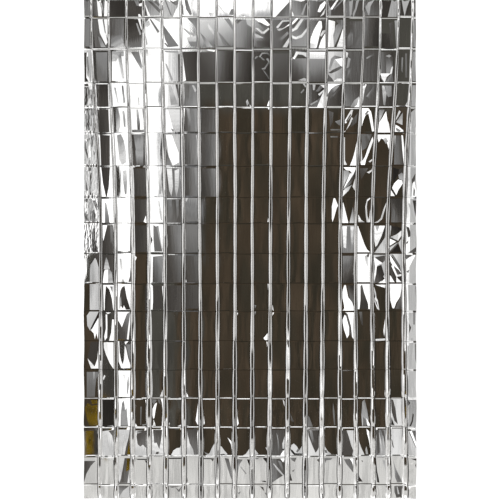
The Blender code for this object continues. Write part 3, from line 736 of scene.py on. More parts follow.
    (0.85, 0.9, (87.7, 358.5), (90.3, 361.3), (94.7, 366.5), (93, 369.3), (91.5, 369.3)),
    (1, (98.7, 351), (99.9, 369.3), (91.5, 369.3), (95, 366.3), (97.5, 359)),
    (1, (103.9, 341), (113.5, 341), (113.7, 352), (113.7, 368.7), (110, 363), (106, 354), (104, 347.5)),
    (1, (117.7, 341), (119.2, 342), (119.7, 353), (121.2, 361), (123.7, 367), (121.5, 369.3), (118.7, 362),
     (117.8, 352)),
    (1, (124.8, 346), (126.2, 349), (128, 358), (131, 366), (131.5, 369.3), (121.8, 369.3), (124, 360),
     (124.5, 352)),
    (0.5, 0.48, (126, 345), (131.5, 345), (131.5, 363.5), (129, 357)),
    (0.97, (124.7, 343), (128.5, 339.5), (129.3, 341), (125.5, 345.3)),
    (0.46, 0.36, (87, 372), (99, 397.5)),
    (0.66, 0.5, (93.3, 372), (95, 372), (94.7, 384), (93.7, 383)),
    (0, (96.5, 379), (98.7, 376), (98.7, 397.3), (95, 397.3), (95.5, 388)),
    (0.88, 0.85, (103, 378), (104.5, 374.5), (105.5, 375.7), (103.7, 380)),
    (1, (117.7, 371), (130.7, 371), (130.7, 397.5), (118, 397.5)),
    (0.7, 0.62, (127, 383), (128.7, 376.5), (129.3, 385), (128, 394), (127, 394)),
    (0.85, 0.9, (123.5, 375), (124.8, 375), (124.7, 384)),
    (0.85, 0.8, (159.7, 397.7), (162.7, 390), (163.9, 397.7)),
    # the grey panels beside the dark middle, rows 4 to 10
    (0.9, 0.75, (165.7, 109), (180, 131.5)),
    (1, (165.7, 109.5), (168, 109.5), (173.5, 130), (172, 131.7), (165.7, 131.7)),
    (0.45, 0.5, (170.5, 127.5), (174.5, 130), (172.3, 131)),
    (0.76, 0.7, (165.7, 134), (180, 165)),
    (1, (166, 134.5), (172, 134.5), (178.7, 152), (179, 162), (173, 165), (169, 156)),
    (0.34, 0.5, (165.7, 148), (168, 154), (172, 165.5), (165.7, 165.5)),
    (0.42, 0.45, (165.7, 167.5), (180.5, 197)),
    (0.95, 0.8, (166.7, 168), (172, 168), (173, 186), (171.5, 195.5), (169.3, 190)),
    (0.9, 0.7, (174.7, 170), (179.3, 168), (178.7, 186), (176.7, 196), (175, 190)),
    (0.34, 0.36, (166, 198.5), (181, 223)),
    (0.55, 0.4, (168.3, 199), (171.7, 199), (172, 212), (170.7, 221)),
    (0.56, 0.4, (175.7, 199), (178.7, 199), (178.7, 214), (177.3, 221)),
    (0.4, 0.36, (167, 225), (181.3, 253)),
    (0.36, 0.3, (167, 255), (181.3, 282)),
    (0.28, (167, 285), (181.3, 310)),
    (0.46, 0.42, (184, 109), (198, 132)),
    (0.62, 0.5, (186.3, 109), (189.5, 109), (191.3, 124), (189, 124)),
    (1, (182.7, 108.7), (184.9, 108.7), (184, 118), (183, 125)),
    (0.43, 0.4, (184, 134), (198, 166)),
    (0.75, 0.7, (196, 136), (197.8, 135), (198, 143)),
    (0.42, 0.38, (184.5, 168), (198, 196)),
    (0.58, 0.42, (185, 198), (198, 222)),
    (0.8, 0.7, (184.7, 198), (188.5, 198), (185.7, 203)),
    (0.42, 0.4, (185.5, 225), (198, 253)),
    (0.34, 0.31, (186, 256), (198, 282)),
    (0.3, 0.29, (186, 285), (198, 309)),
    (0.32, 0.34, (201.5, 109), (216, 132)),
    (0.36, 0.37, (201.5, 134), (216, 166)),
    (0.37, 0.3, (201.5, 168), (216, 196)),
    (0.25, (145, 285), (149, 398)),
    (0.27, (153, 286), (162, 309)),
    # small knots where the folds cross
    (1, (263.5, 338.3), (267.5, 333.5), (268.8, 332.5), (268.8, 347.5), (266.5, 342)),
    (1, (184.5, 279.5), (186.5, 281.7), (184.5, 283)),
    (1, (184.9, 389), (186.3, 393), (188.5, 397.3), (184.7, 397.6)),
    (1, (236.3, 309.3), (238, 312), (236.5, 314.5)),
    (1, (267.5, 222.7), (268.7, 218), (269.3, 222.8)),
    (1, (267.8, 284.3), (269, 284), (269, 291)),
    (0.9, (272.5, 304), (273.8, 311), (272.3, 309)),
    (1, (272.5, 312), (274.3, 311.5), (272.5, 315.3)),
    (0.5, 0.45, (254.3, 305), (256.3, 306), (255, 309)),
    (0.6, (254.5, 311), (256.3, 311), (254.7, 315.5)),
    (0.5, (250, 368), (251.7, 367.5), (251.5, 370)),
    (0.3, 0.27, (364, 19), (380, 47)),
    (0.27, 0.24, (382, 33), (393, 48)),
    (0.62, 0.5, (394.5, 20), (397, 20), (399.5, 46), (396, 46)),
    # bottom end, row 14
    (0, (84, 399), (98.5, 428)),
    (-1, (85, 408), (88, 403), (92, 406), (98.5, 405), (98.5, 428), (90, 427), (87.5, 420)),
    (-1, (91, 400), (97, 400), (97.5, 403.5), (92.5, 404.5)),
    (0.17, (101.5, 400), (115.5, 398.7), (114.3, 412), (113.3, 420), (114.5, 427), (101, 428)),
    (0.6, 0.55, (107.5, 425.6), (113.3, 424.6), (114.7, 427.3), (107.5, 427)),
    (1, (118.5, 398.7), (130.7, 427)),
    (0.45, 0.66, (122, 404), (123.4, 400.3), (124.5, 404), (125.3, 410.5), (126.7, 408), (128.3, 427),
     (120.5, 427), (120.7, 415)),
    (0, (134.3, 399), (148, 426.7)),
    (0.42, 0.36, (140.5, 406), (141.8, 406), (141.3, 425), (140.3, 424)),
    (1, (145.3, 399.2), (149, 399.5), (148.6, 405.5), (147.3, 403)),
    (1, (133.3, 422.7), (137.3, 425.8), (134.5, 427.3)),
    (0.6, 0.5, (142.3, 424), (147, 423.3), (147, 424.3), (143, 425.3)),
    (0, (151.3, 399), (163.7, 427)),
    (0.46, 0.4, (151.3, 399.5), (157, 400), (154, 405.5), (152, 403)),
    (0.4, 0.36, (157.5, 399.5), (160, 399.5), (160.7, 405), (158.7, 403)),
    (1, (155, 404.3), (157, 403), (155.5, 411), (154.5, 418), (153.3, 419), (151, 415.7), (152.5, 409)),
    (1, (160.7, 399), (164.3, 399), (164.3, 427), (162, 427), (162.7, 410), (162, 403)),
    (0.95, 0.9, (153.3, 419.5), (155, 423), (156, 426.8), (152.5, 426.8), (153.7, 423)),
    (0.85, (167.5, 422), (170, 423), (168.3, 425.7)),
    (0.95, 0.9, (177.7, 425.7), (182, 424.3), (182, 426.7)),
    (1, (198.3, 404), (199.3, 404), (199.3, 425), (197.7, 425), (195.7, 421), (197, 412)),
    (1, (202, 409), (203, 415), (204.7, 422.7), (203.3, 424.7), (202, 424)),
    (1, (236.5, 407), (237.5, 416), (238.7, 423), (236.5, 425.5)),
    (0.85, 0.8, (282.7, 398.7), (284.3, 401), (285.3, 406), (283.7, 404)),
    (0.38, 0.34, (288, 413), (291, 415.7), (294.3, 422.3), (291, 421)),
    (0.42, 0.46, (306, 415), (309.5, 417), (313, 426.5), (306, 426.5)),
    (0.46, 0.4, (333, 403), (334.3, 411), (335.3, 425.5), (334, 425.5), (332.7, 412)),
    (0.5, 0.64, (362.3, 402), (364.5, 399.5), (367, 410), (368.7, 420), (366, 426.3), (362, 426.3),
     (361.3, 415)),
    (0.45, 0.42, (363, 417), (366, 420.5), (366.5, 426.3), (362.7, 426.3)),
    (1, (366.3, 418.5), (369.5, 424), (371, 427.3), (367.5, 426)),
    (0.85, (389.7, 399), (404.3, 426.5)),
    (0.34, 0.28, (389.7, 399.3), (393, 400), (395.3, 409), (396.3, 417), (397.7, 424.5), (394.3, 421),
     (391.5, 412), (390, 406)),
    (0.2, (390, 416.5), (391.5, 418), (394.3, 425.5), (391, 425)),
    (0.6, (406, 399), (417, 427)),
    (0.2, 0.22, (405.5, 402), (408, 399.8), (410, 402.3), (408, 405.3), (406, 405)),
    (0.22, (412.3, 412.5), (413.5, 414), (412.5, 421), (410.5, 425.5), (409, 425.5), (411.3, 420)),
    (0.36, (407.3, 407.5), (408.5, 407.5), (407.3, 416), (406.5, 415)),
    # bottom end, row 15
    (-1, (83, 431), (97.3, 431), (98, 457.5), (83, 457.5)),
    (0.16, (97, 434), (99, 434), (98.3, 454), (96.7, 452)),
    (0.84, 0.86, (100, 430.7), (115.7, 429.5), (115.7, 457), (99.7, 457.7)),
    (0.33, 0.4, (108.7, 430.7), (115.7, 429.3), (115.3, 442), (112.3, 435)),
    (1, (106, 457.7), (111.3, 456), (115.7, 455.3), (115, 457.3)),
    (0.3, (118, 430), (131.5, 430), (131.5, 455.7), (117.7, 455.7)),
    (-1, (129.3, 441), (131.5, 435), (131.5, 455.7), (127, 455.7)),
    (0.86, 0.84, (118, 430), (130.3, 430), (128.7, 438), (126.3, 447), (124.7, 455.7), (117.7, 455.7)),
    (0.84, 0.8, (133.5, 430), (148.7, 455.5)),
    (0.3, 0.36, (137.5, 430.5), (148, 429.7), (147.7, 440), (146.3, 447.5), (143, 444), (140.3, 446),
     (137.7, 443.5), (136.5, 436)),
    (0.6, 0.7, (135, 431), (142, 431.3), (138, 433)),
    (0.18, (133.3, 429.5), (135, 431), (135.5, 436.5), (133.5, 437)),
    (0.97, 0.85, (151.5, 429.7), (163.7, 455.3)),
    (0.3, 0.38, (153, 430), (162.3, 430), (161.3, 440), (159.5, 449.3), (158, 446.5), (156.7, 443),
     (154.3, 443.5)),
    (0.28, (156.3, 452.7), (159, 452), (158.7, 454.3), (155.7, 454.7)),
    (0, (167.5, 429.5), (182, 455)),
    (0.8, 0.84, (182, 445), (182, 455.3), (171, 455.3), (173.5, 450), (177, 447.7), (180, 447.3)),
    (0.3, 0.42, (186.3, 429.7), (198.5, 455)),
    (0.85, 0.8, (186.3, 431), (187.7, 435), (189.7, 443.5), (193.3, 450), (194, 455.3), (186.3, 455.3)),
    (0.97, (197.3, 434), (199.3, 430), (199.3, 455), (198.5, 455)),
    (0, (202.3, 429), (215.3, 455)),
    (0.8, (215.3, 443), (215.3, 455.3), (205, 455.3), (209.7, 452.3), (212, 447)),
    (0.6, 0.5, (203, 451), (205, 451.7), (210, 453.5), (206, 453.7)),
    (0, (219, 429), (232.5, 455)),
    (0.8, (219, 446), (222, 447), (224, 450), (227.7, 454.3), (225, 455.3), (219, 455.3)),
    (0.15, (220, 454.3), (224, 453.7), (226, 454.7), (220.5, 455.2)),
    (1, 0.95, (227.7, 437.7), (231, 441), (232.7, 442), (232.7, 455), (232, 450), (231, 444.5)),
    (0, (237, 429), (249.7, 455)),
    (0.8, 0.75, (249.7, 448), (249.7, 455.3), (242, 455.3), (246, 453)),
    (0, (254.3, 429), (267.5, 455)),
    (0.75, 0.7, (254.3, 449.5), (257, 452), (258.5, 454.3), (254.3, 455)),
    (0.85, 0.8, (265.5, 447.5), (268, 448), (268, 450.5)),
    (0.3, 0.36, (271.7, 429), (285, 455)),
    (0.62, 0.5, (276.3, 432), (277.7, 435), (279.5, 448), (278, 450.5), (277.7, 440)),
    (0.78, 0.7, (282.3, 443), (285, 436), (285, 455.3), (280, 455.3), (282.7, 450)),
    (0.16, (281.3, 448), (284.3, 448.3), (283.5, 450.3)),
    (1, (281, 453.5), (285, 449.3), (285, 455.5), (280.5, 455.5)),
    (0, (288, 429), (303.3, 455)),
    (0.72, 0.78, (288.7, 451), (291.3, 445.3), (293.7, 443.7), (297, 446.7), (299, 451), (303.3, 446),
     (303.3, 455.3), (288.7, 455.3)),
    (0.12, (288.7, 449.3), (292.3, 450), (295, 453.3), (302, 453.7), (302.3, 455), (294, 455.2),
     (291.3, 452)),
    (0.4, 0.45, (296, 451.5), (298, 448.5), (299.3, 450), (297.5, 453)),
    (0.84, 0.8, (305.7, 429), (320, 455)),
    (0.28, 0.3, (306.5, 429.3), (319.3, 429.3), (319.3, 447), (317.5, 449.5), (315.5, 452), (312.3, 445),
     (308.5, 435)),
    (0.55, 0.45, (309.3, 429.3), (312, 430), (314.3, 441), (312.5, 442), (310.3, 435)),
    (0, (323, 428.7), (338.5, 454.7)),
    (0.8, 0.75, (323, 446), (325.3, 447.7), (327.7, 451.3), (331.3, 454.3), (329, 455), (323, 455)),
    (0.4, 0.36, (324.3, 450.5), (326.3, 450), (327.3, 453), (325.3, 453)),
    (0.3, 0.28, (340.7, 429.7), (355, 454.7)),
    (0.74, 0.8, (346.5, 429.7), (355, 429.7), (355, 454.7), (352.3, 454), (353.3, 450), (351, 444.3),
     (348.7, 436)),
    (0, (357.5, 428.7), (371.7, 428.7), (372.3, 455), (357.5, 455)),
    (0.82, 0.78, (357.3, 438), (358.7, 441), (360.7, 447), (363.5, 453), (364.3, 455), (357.3, 455)),
    (0.7, 0.6, (365.3, 450), (366.3, 446.5), (367.3, 450.7), (368, 454.3), (365.7, 454.3)),
    (1, (366.5, 429.3), (369, 431.5), (372, 447), (371, 449), (368.7, 440), (367, 434)),
    (0.5, 0.56, (374.3, 429), (388, 455)),
    (0.3, 0.33, (376, 429), (378.7, 429), (379.5, 452), (377, 454)),
    (0.95, 0.8, (374.3, 434), (375.7, 436), (376, 452), (374.3, 452)),
    (0.8, 0.7, (379, 431), (381, 440), (382.7, 452), (380.7, 454), (379.7, 440)),
    (0.33, 0.36, (381, 429.3), (384, 430), (386.3, 440), (386.7, 450), (384.3, 441)),
    (0.75, 0.7, (382.7, 434), (384, 441), (386, 453), (384.3, 453), (383.3, 445)),
    (0.83, 0.82, (389.7, 428.7), (404.7, 455)),
    (0.26, 0.3, (390.7, 439.5), (392, 440), (394, 448.7), (392.3, 446.5)),
    (0.35, (389.7, 434.7), (391.7, 435.7), (390, 437)),
    (0.76, 0.73, (406, 428.7), (417, 455)),
    (0.36, 0.42, (411.3, 429.7), (417, 429.7), (417, 441.5), (414, 436)),
    (1, (409.5, 431.3), (411.3, 430), (417, 441.5), (417, 446)),
    (0.14, (408.7, 431.5), (409.7, 431.5), (417, 446.3), (416.3, 447.5)),
    (0.1, (405.7, 428.8), (411.5, 428.8), (410.7, 430), (408, 430.3)),
    # bottom end, rows 16 and 17
    (0.3, (83, 461), (95.7, 461), (91, 466), (86.5, 474), (83.7, 483.5), (83, 483.5)),
    (0.4, 0.45, (113, 459.5), (115.5, 459.5), (115.7, 472), (114.3, 466)),
    (0.3, 0.36, (118, 458.5), (131.3, 483.3)),
    (0.86, 0.84, (117.7, 458.5), (124.7, 458.5), (122.7, 470), (121, 479), (119.5, 483.3), (117.7, 480)),
    (0.85, 0.82, (131.3, 470), (131.3, 483.3), (127.5, 483.3)),
    (-1, (127, 458.5), (131.3, 458.5), (130, 470), (126.3, 472)),
    (0.12, (134.3, 458.2), (149, 458.2), (148, 459.3), (138, 459.3)),
    (0.2, (144.7, 459.5), (149, 460), (147, 462.7)),
    (1, (147.3, 458.3), (149.3, 458.3), (149.3, 461), (147, 460.3)),
    (0.12, 0.14, (168.5, 457.5), (182, 457.2), (181.5, 458.5), (169, 458.7)),
    (0.36, 0.4, (185.5, 477), (188, 481), (186.3, 483), (185, 480)),
    (0.12, (202.3, 457.5), (215, 457.7), (212, 458.7), (203, 458.5)),
    (0.3, (211, 458.5), (214, 458.5), (212.7, 461)),
    (0.34, 0.5, (224.7, 458), (228.7, 458.7), (231, 468), (232.3, 480), (230, 476), (227, 466)),
    (0.42, 0.62, (237, 458.3), (242.7, 459), (240, 463), (239, 467), (238, 472.7), (236.7, 472.3)),
    (0.5, 0.55, (240, 466), (241, 466), (246.7, 473.3), (245.7, 473.5)),
    (0.2, (247, 458.5), (249.5, 459), (249.5, 465), (248, 462)),
    (0.45, 0.5, (254.3, 458.3), (260, 457.7), (257, 459.5)),
    (0.18, 0.2, (262.7, 457.7), (267, 458), (268, 463.5), (266, 462), (264, 459.7)),
    (0.24, (260.7, 480.7), (265.3, 480.7), (267.5, 482.3), (264, 482)),
    (0.32, 0.38, (271.7, 458), (281, 458), (285, 462), (285, 474.3), (279, 477.3), (271.7, 481.7)),
    (0.5, 0.46, (278, 460), (281, 461), (284, 470), (282, 470)),
    (0.75, 0.7, (273, 463), (274, 463), (278.3, 467.7), (284, 474.5), (282.7, 475), (277, 469)),
    (1, (280.3, 458), (285, 458), (284.7, 459), (283, 461.7)),
    (0.44, 0.4, (290, 458), (296.5, 458), (294.7, 462.3), (292, 460.7)),
    (0.22, 0.24, (287.7, 470), (289.5, 473.7), (292.3, 481.3), (290, 481), (288.3, 475.5)),
    (0.36, 0.4, (291.7, 471.3), (294.7, 469.7), (293.3, 472.3)),
    (0.3, (316.7, 459), (319.5, 458), (319.5, 461.5)),
    (0.42, 0.5, (323, 458.3), (332.3, 458.3), (331, 460), (326.3, 460.5), (325.3, 463.5)),
    (0.36, 0.44, (343.7, 458.5), (349.7, 458.3), (351.7, 461), (354, 466.5), (354, 472), (350, 468),
     (346.5, 463.7)),
    (1, (349.7, 458), (354.3, 458), (354.3, 464.5), (352, 461.5)),
    (1, (340.7, 473), (342.7, 474), (342.3, 476), (340.7, 475.5)),
    (0.2, 0.22, (357.3, 474.5), (359.5, 477.3), (362.7, 481.9), (357.5, 481.9)),
    (0.34, 0.36, (361.3, 460.5), (363, 461), (362.3, 462.7)),
    (0.24, 0.2, (374.3, 458.5), (376, 462), (377, 470), (378.7, 478), (379.3, 482.3), (377, 481.5),
     (374.7, 472)),
    (0.66, 0.72, (382.7, 460), (387.7, 460), (388, 474), (385.5, 470)),
    (0.56, 0.5, (393, 460), (395.7, 469), (399.7, 477), (402, 482.3), (397.3, 483), (395, 478), (394.3, 470)),
    (0.36, (396.5, 473), (398.3, 476), (400.3, 482), (398, 481.5)),
    (0.22, (410.3, 458), (417, 458), (417, 460)),
    (0.26, (414.7, 464.5), (417, 462.3), (417, 467)),
    (0.3, 0.66, (116.5, 486), (130.5, 486), (123, 491), (119, 497), (116.5, 497)),
    (0.76, 0.78, (130.5, 486.5), (131, 497), (119.3, 497), (123.3, 491)),
    (0.14, (168.5, 485.8), (178, 485.5), (181, 485.5), (172, 486.9)),
    (0.4, (175, 486.3), (178.7, 489), (181.5, 485.8), (180.3, 490), (179, 491.5)),
    (0.32, 0.3, (259.7, 486), (263.3, 487.3), (264.3, 491.5), (262, 489)),
    (0.36, (264.7, 492.7), (265.7, 492.7), (267, 495), (266, 495)),
    (0.5, (237, 492.3), (241, 491), (239, 494)),
    (0.36, 0.34, (394, 486.3), (402.3, 486.3), (403.3, 497.5), (396.3, 497.5), (394.3, 492)),
    (0.7, (396.5, 487), (397.5, 487), (399.3, 494), (397.7, 494)),
]


def sideDistance(x, down, corners):
    # how far inside a polygon each point lies, below 0 outside: the distance to its nearest side, with a sign
    # from how often a line to the right crosses the sides
    nearest = np.full(x.shape, np.inf)
    inside = np.zeros(x.shape, bool)
    for start, end in zip(corners, np.roll(corners, -1, axis=0)):
        alongX, alongDown = end - start
        share = (x - start[0]) * alongX + (down - start[1]) * alongDown
        share = np.clip(share / (alongX ** 2 + alongDown ** 2 + 1e-12), 0, 1)
        gap = (x - start[0] - share * alongX) ** 2 + (down - start[1] - share * alongDown) ** 2
        nearest = np.minimum(nearest, gap)
        if alongDown:
            crossing = start[0] + (down - start[1]) * alongX / alongDown
            inside ^= ((start[1] > down) != (end[1] > down)) & (x < crossing)
    return np.sqrt(nearest) * np.where(inside, 1, -1)


def towards(*way):
    # the direction of a way, of length 1
    return np.array(way) / np.linalg.norm(way)


def facetLean(shade, centre):
    # the slopes of a mirror that shows the camera the room's place for a shade: it faces halfway between them
    side = "right" if centre[0] > mirrored["rightFrom"] else "left"
    along = foilSheet["length"] / 2 - centre[1]
    shown = (np.interp(shade, shadeSides["shade"], shadeSides[side]), np.clip(along, *mirrored["sideAlong"]))
    if shade == 0:
        shown = (mirrored["middleAcross"], np.clip(along, *mirrored["middleAlong"]))
    if shade < 0:
        shown = mirrored["gold"]
    facing = towards(-centre[0], -along, viewHeight) + towards(*shown, viewHeight)
    return -facing[:2] / facing[2]


def readFacets():
    # each facet stays on the panel that its centre lies on; its slopes run from its first side to its far end
    facets = []
    inset = facetForm["inset"]
    for startShade, *corners in facetTable:
        endShade = startShade if isinstance(corners[0], tuple) else corners.pop(0)
        if len(corners) == 2:
            (left, top), (right, bottom) = corners
            corners = [(left, top), (right, top), (right, bottom), (left, bottom)]
        corners = (np.array(corners, dtype=float) - (facetForm["middle"], 0)) * facetForm["step"]
        centre = corners.mean(axis=0)
        column = int(sheetPlace(centre[:1], centre[1:])[0] + 0.5) // 2
        corners[:, 1] = np.clip(corners[:, 1], inset, foilSheet["length"] - inset)
        corners[:, 0] = np.clip(corners[:, 0], foldLine("left", column, corners[:, 1]) + inset,
                                foldLine("right", column, corners[:, 1]) - inset)
        first, last = facetLean(startShade, centre), facetLean(endShade, centre)
        foot = corners[:2].mean(axis=0)
        rises = (corners - centre) @ (first * (1, -1))
        facets.append({
            "corners": corners,
            "centre": centre,
            "lean": first,
            "turn": last - first,
            "foot": foot,
            "run": corners[2:].mean(axis=0) - foot,
            "lowest": rises.min(),
            "gain": min(facetForm["steepest"], facetForm["rise"] / max(np.ptp(rises), 1e-6)),
            "cup": rng.uniform(-facetForm["cup"], facetForm["cup"]),
        })
    return facets


def nearFacets(x, down):
    # each facet with the points near it and how far inside it they lie
    order = np.argsort(down, kind="stable")
    sortedDown = down[order]
    margin = facetForm["slack"]
    for facet in facetList:
        low, high = facet["corners"].min(axis=0) - margin, facet["corners"].max(axis=0) + margin
        here = order[np.searchsorted(sortedDown, low[1]):np.searchsorted(sortedDown, high[1])]
        here = here[(x[here] > low[0]) & (x[here] < high[0])]
        if len(here):
            yield facet, here, sideDistance(x[here], down[here], facet["corners"])


def facetHeight(x, down):
    # each facet lifts the sheet to its own plane, starting from its lowest corner
    height = np.zeros(x.shape)
    for facet, here, inside in nearFacets(x, down):
        share = smoothStep(-facetForm["slack"], facetForm["slack"], inside)
        centre, lean = facet["centre"], facet["lean"]
        rise = (x[here] - centre[0]) * lean[0] - (down[here] - centre[1]) * lean[1]
        rise = np.clip(rise - facet["lowest"], 0, None) * facet["gain"]
        height[here] = height[here] * (1 - facetForm["under"] * share) + share * rise
    return height


def facetSlopes(x, down, faceX, faceDown):
    # which corners belong to a face inside a facet, and the slopes that it gives them; a later facet hides
    # an earlier one
    inFacet = np.zeros(x.shape, bool)
    slopes = np.zeros((len(x), 2))
    for facet, here, inside in nearFacets(faceX, faceDown):
        here = here[inside > 0]
        run = facet["run"]
        place = np.stack([x[here], down[here]], -1) - facet["foot"]
        along = np.clip(place @ run / (run @ run), 0, 1)
        slopes[here] = facet["lean"] + along[:, None] * facet["turn"]
        slopes[here, 0] += facet["cup"] * (x[here] - facet["centre"][0])
        inFacet[here] = True
    return inFacet, slopes


def sideGap(x, down):
    # how far each point is from the nearest side of a facet
    away = np.full(x.shape, 1.0)
    for facet, here, inside in nearFacets(x, down):
        away[here] = np.minimum(away[here], np.abs(inside))
    return away


def cellHeight(column, u, row, v, wide, tall):
    # a plane with its own lean, a slight bow and a flare; u and v run 0 to 1 over the cell
    height = leanAcross[row, column] * (u - 0.5) * wide + leanAlong[row, column] * (0.5 - v) * tall
    height = height + bow[row, column] * (1 - (2 * u - 1) ** 2) * (1 - 0.5 * (2 * v - 1) ** 2)
    height = height + flare[row, column] * ((2 * u - 1) ** 4 - 0.35) * (0.5 - v) * tall
    return height


def panelHeight(column, u, down, wide):
    # the cells above and below a crosswise fold run into each other over the fold's width
    lines = rowLines()
    half = foilSheet["creaseHalf"]
    upper, lower = cellAt(down - half), cellAt(down + half)
    heights = []
    for row in (upper, lower):
        tall = lines[row + 1] - lines[row]
        heights.append(cellHeight(column, u, row, (down - lines[row]) / tall, wide, tall))
    share = np.where(upper != lower, np.clip((down - lines[lower]) / (2 * half) + 0.5, 0, 1), 0)
    height = heights[0] * (1 - share) + heights[1] * share
    near = np.clip(np.round(rowAt(down)).astype(int), 1, cellRows - 1)
    tent = np.clip(1 - np.abs(down - lines[near]) / half, 0, 1)  # the fold's own crest
    height = height + crestHeights[near - 1] * tent * creaseSign[near - 1, column]
    left, right = foilSheet["curl"]
    turned = np.where(column == 0, left * (1 - u), 0)
    start, more = foilSheet["curlStart"]
    turned = turned + np.where(column == cellColumns - 1, right * np.minimum(u, start + more * u), 0)
    height = height + turned * smoothStep(foilSheet["curlFrom"], foilSheet["curlFull"], down)
    return foilSheet["panelHeight"] + height


def ridgeShape(split, s):
    # heights in half widths, between one crest and two; s is -1 to 1 between the feet, with a fillet outside
    out = foilSheet["filletShare"]
    stations = (-out, *ridgeProfile["across"], out)
    single, double = (np.interp(s, stations, (0, *ridgeProfile[name], 0)) for name in ("single", "double"))
    return single * (1 - split) + double * split


def makeFoldLines():
    # down the sheet: each panel's two sides, each ridge's half width and split, and each fold's jog
    lines = rowLines()
    down = np.linspace(0, foilSheet["length"], foilSheet["foldPlaces"])
    row = cellAt(down)
    share = (down - lines[row]) / (lines[row + 1] - lines[row])
    bulge = np.clip(np.sin(math.pi * share), 0, 1) ** foilSheet["bulgePower"]
    pinch = foilSheet["pinchShare"] + (1 - foilSheet["pinchShare"]) * bulge
    opened = np.interp(down, ridgeRun["down"], ridgeRun["width"])
    splitting = np.interp(down, ridgeRun["down"], ridgeRun["split"])
    foldX, half, split = [], [], []
    for fold, (top, waist, bottom, halfWidth, crestSplit) in enumerate(ridgeTable):
        foldX.append(foldPlace(top, waist, bottom, down) + np.interp(down, lines, weave[fold]))
        half.append(halfWidth * opened * pinch * np.interp(down, lines, swell[fold]))
        split.append(np.clip(crestSplit + splitting + np.interp(down, lines, splitShift[fold]), 0, 1))
    foldX, half, split = np.array(foldX), np.array(half), np.array(split)
    sides = np.array([[-1], [1]])
    wave = 0.5 + 0.5 * np.sin(foilSheet["edgeWaves"] * down * 2 * math.pi / foilSheet["length"] + sides)
    edges = sides * (foilSheet["width"] / 2 - foilSheet["edgeWander"] * wave)
    out = foilSheet["filletShare"]
    jog = np.array([np.interp(down, lines, creaseShift[:, column]) for column in range(cellColumns)])
    for away in (down, foilSheet["length"] - down):
        jog = jog * smoothStep(0, foilSheet["jogFrom"], away)
    return {
        "left": np.vstack([edges[:1], foldX + out * half]),
        "right": np.vstack([foldX - out * half, edges[1:]]),
        "half": half,
        "split": split,
        "jog": jog,
    }


foldLines = makeFoldLines()


def foldLine(name, number, down):
    # the value of one line at each point, taken between its two nearest places
    last = foilSheet["foldPlaces"] - 1
    step = down / foilSheet["length"] * last
    first = np.clip(np.floor(step).astype(int), 0, last - 1)
    share = step - first
    return foldLines[name][number, first] * (1 - share) + foldLines[name][number, first + 1] * share


def sheetPlace(x, down):
    # q for points given by x and down; q counts panels and ridges by turns: 2c + u lies on panel c,
    # 2f + 1 + w lies on ridge f
    sides = [(side, column) for column in range(cellColumns) for side in ("left", "right")]
    feet = np.array([foldLine(side, column, down) for side, column in sides])
    part = np.clip((feet <= x).sum(axis=0) - 1, 0, len(feet) - 2)
    spot = np.arange(len(x))
    low, high = feet[part, spot], feet[part + 1, spot]
    return part + np.clip((x - low) / (high - low), 0, 1)


facetList = readFacets()


def foilSurface(q, down, facets=True):
    # a panel's points lie on its plane, and a ridge's lie between the planes beside it, plus the ridge's own
    # shape; the facets' rise comes on top
    folds = len(ridgeTable)
    part = np.clip(np.floor(q).astype(int), 0, 2 * folds)
    local = q - part
    onRidge = part % 2 == 1
    blend = np.where(onRidge, local, 0.0)
    first = part // 2
    second = np.where(onRidge, first + 1, first)
    x = y = z = 0
    for column, u, weight in ((first, np.where(onRidge, 1.0, local), 1 - blend),
                              (second, np.where(onRidge, 0.0, local), blend)):
        left, right = foldLine("left", column, down), foldLine("right", column, down)
        x = x + weight * (left * (1 - u) + right * u)
        y = y - weight * foldLine("jog", column, down)
        z = z + weight * panelHeight(column, u, down, right - left)
    fold = np.minimum(first, folds - 1)
    shape = ridgeShape(foldLine("split", fold, down), (2 * local - 1) * foilSheet["filletShare"])
    z = z + np.where(onRidge, shape * foldLine("half", fold, down), 0)
    if facets:
        foot = 1 - np.where(onRidge, 4 * local * (1 - local), 0)  # they fade out up a ridge's sides
        z = z + facetHeight(x, down) * foot
    return x, y + foilSheet["length"] / 2 - down, z


def columnStations():
    # q of the lines down the sheet: an even run over each panel, and those that shape each ridge
    ridge = (np.array(ridgeProfile["across"]) / foilSheet["filletShare"] + 1) / 2
    panel = np.linspace(0, 1, foilSheet["panelLines"] + 2)
    part = np.concatenate([panel, 1 + ridge])
    stations = (2 * np.arange(cellColumns)[:, None] + part).ravel()
    return stations[:-len(ridge)]


def rowStations():
    # lines across the sheet: an even run in each cell, and close ones beside each crosswise fold
    lines = rowLines()
    half = foilSheet["creaseHalf"]
    stations = []
    for row in range(cellRows):
        start = lines[row] + (half if row else 0)
        end = lines[row + 1] - (half if row < cellRows - 1 else 0)
        stations += list(np.linspace(start, end, foilSheet["rowsPerCell"]))
        if row < cellRows - 1:
            stations += [lines[row + 1] - half / 2, lines[row + 1], lines[row + 1] + half / 2]
    return np.array(stations)


def addObject(name, data):
    # a new object in the scene
    made = bpy.data.objects.new(name, data)
    bpy.context.scene.collection.objects.link(made)
    return made


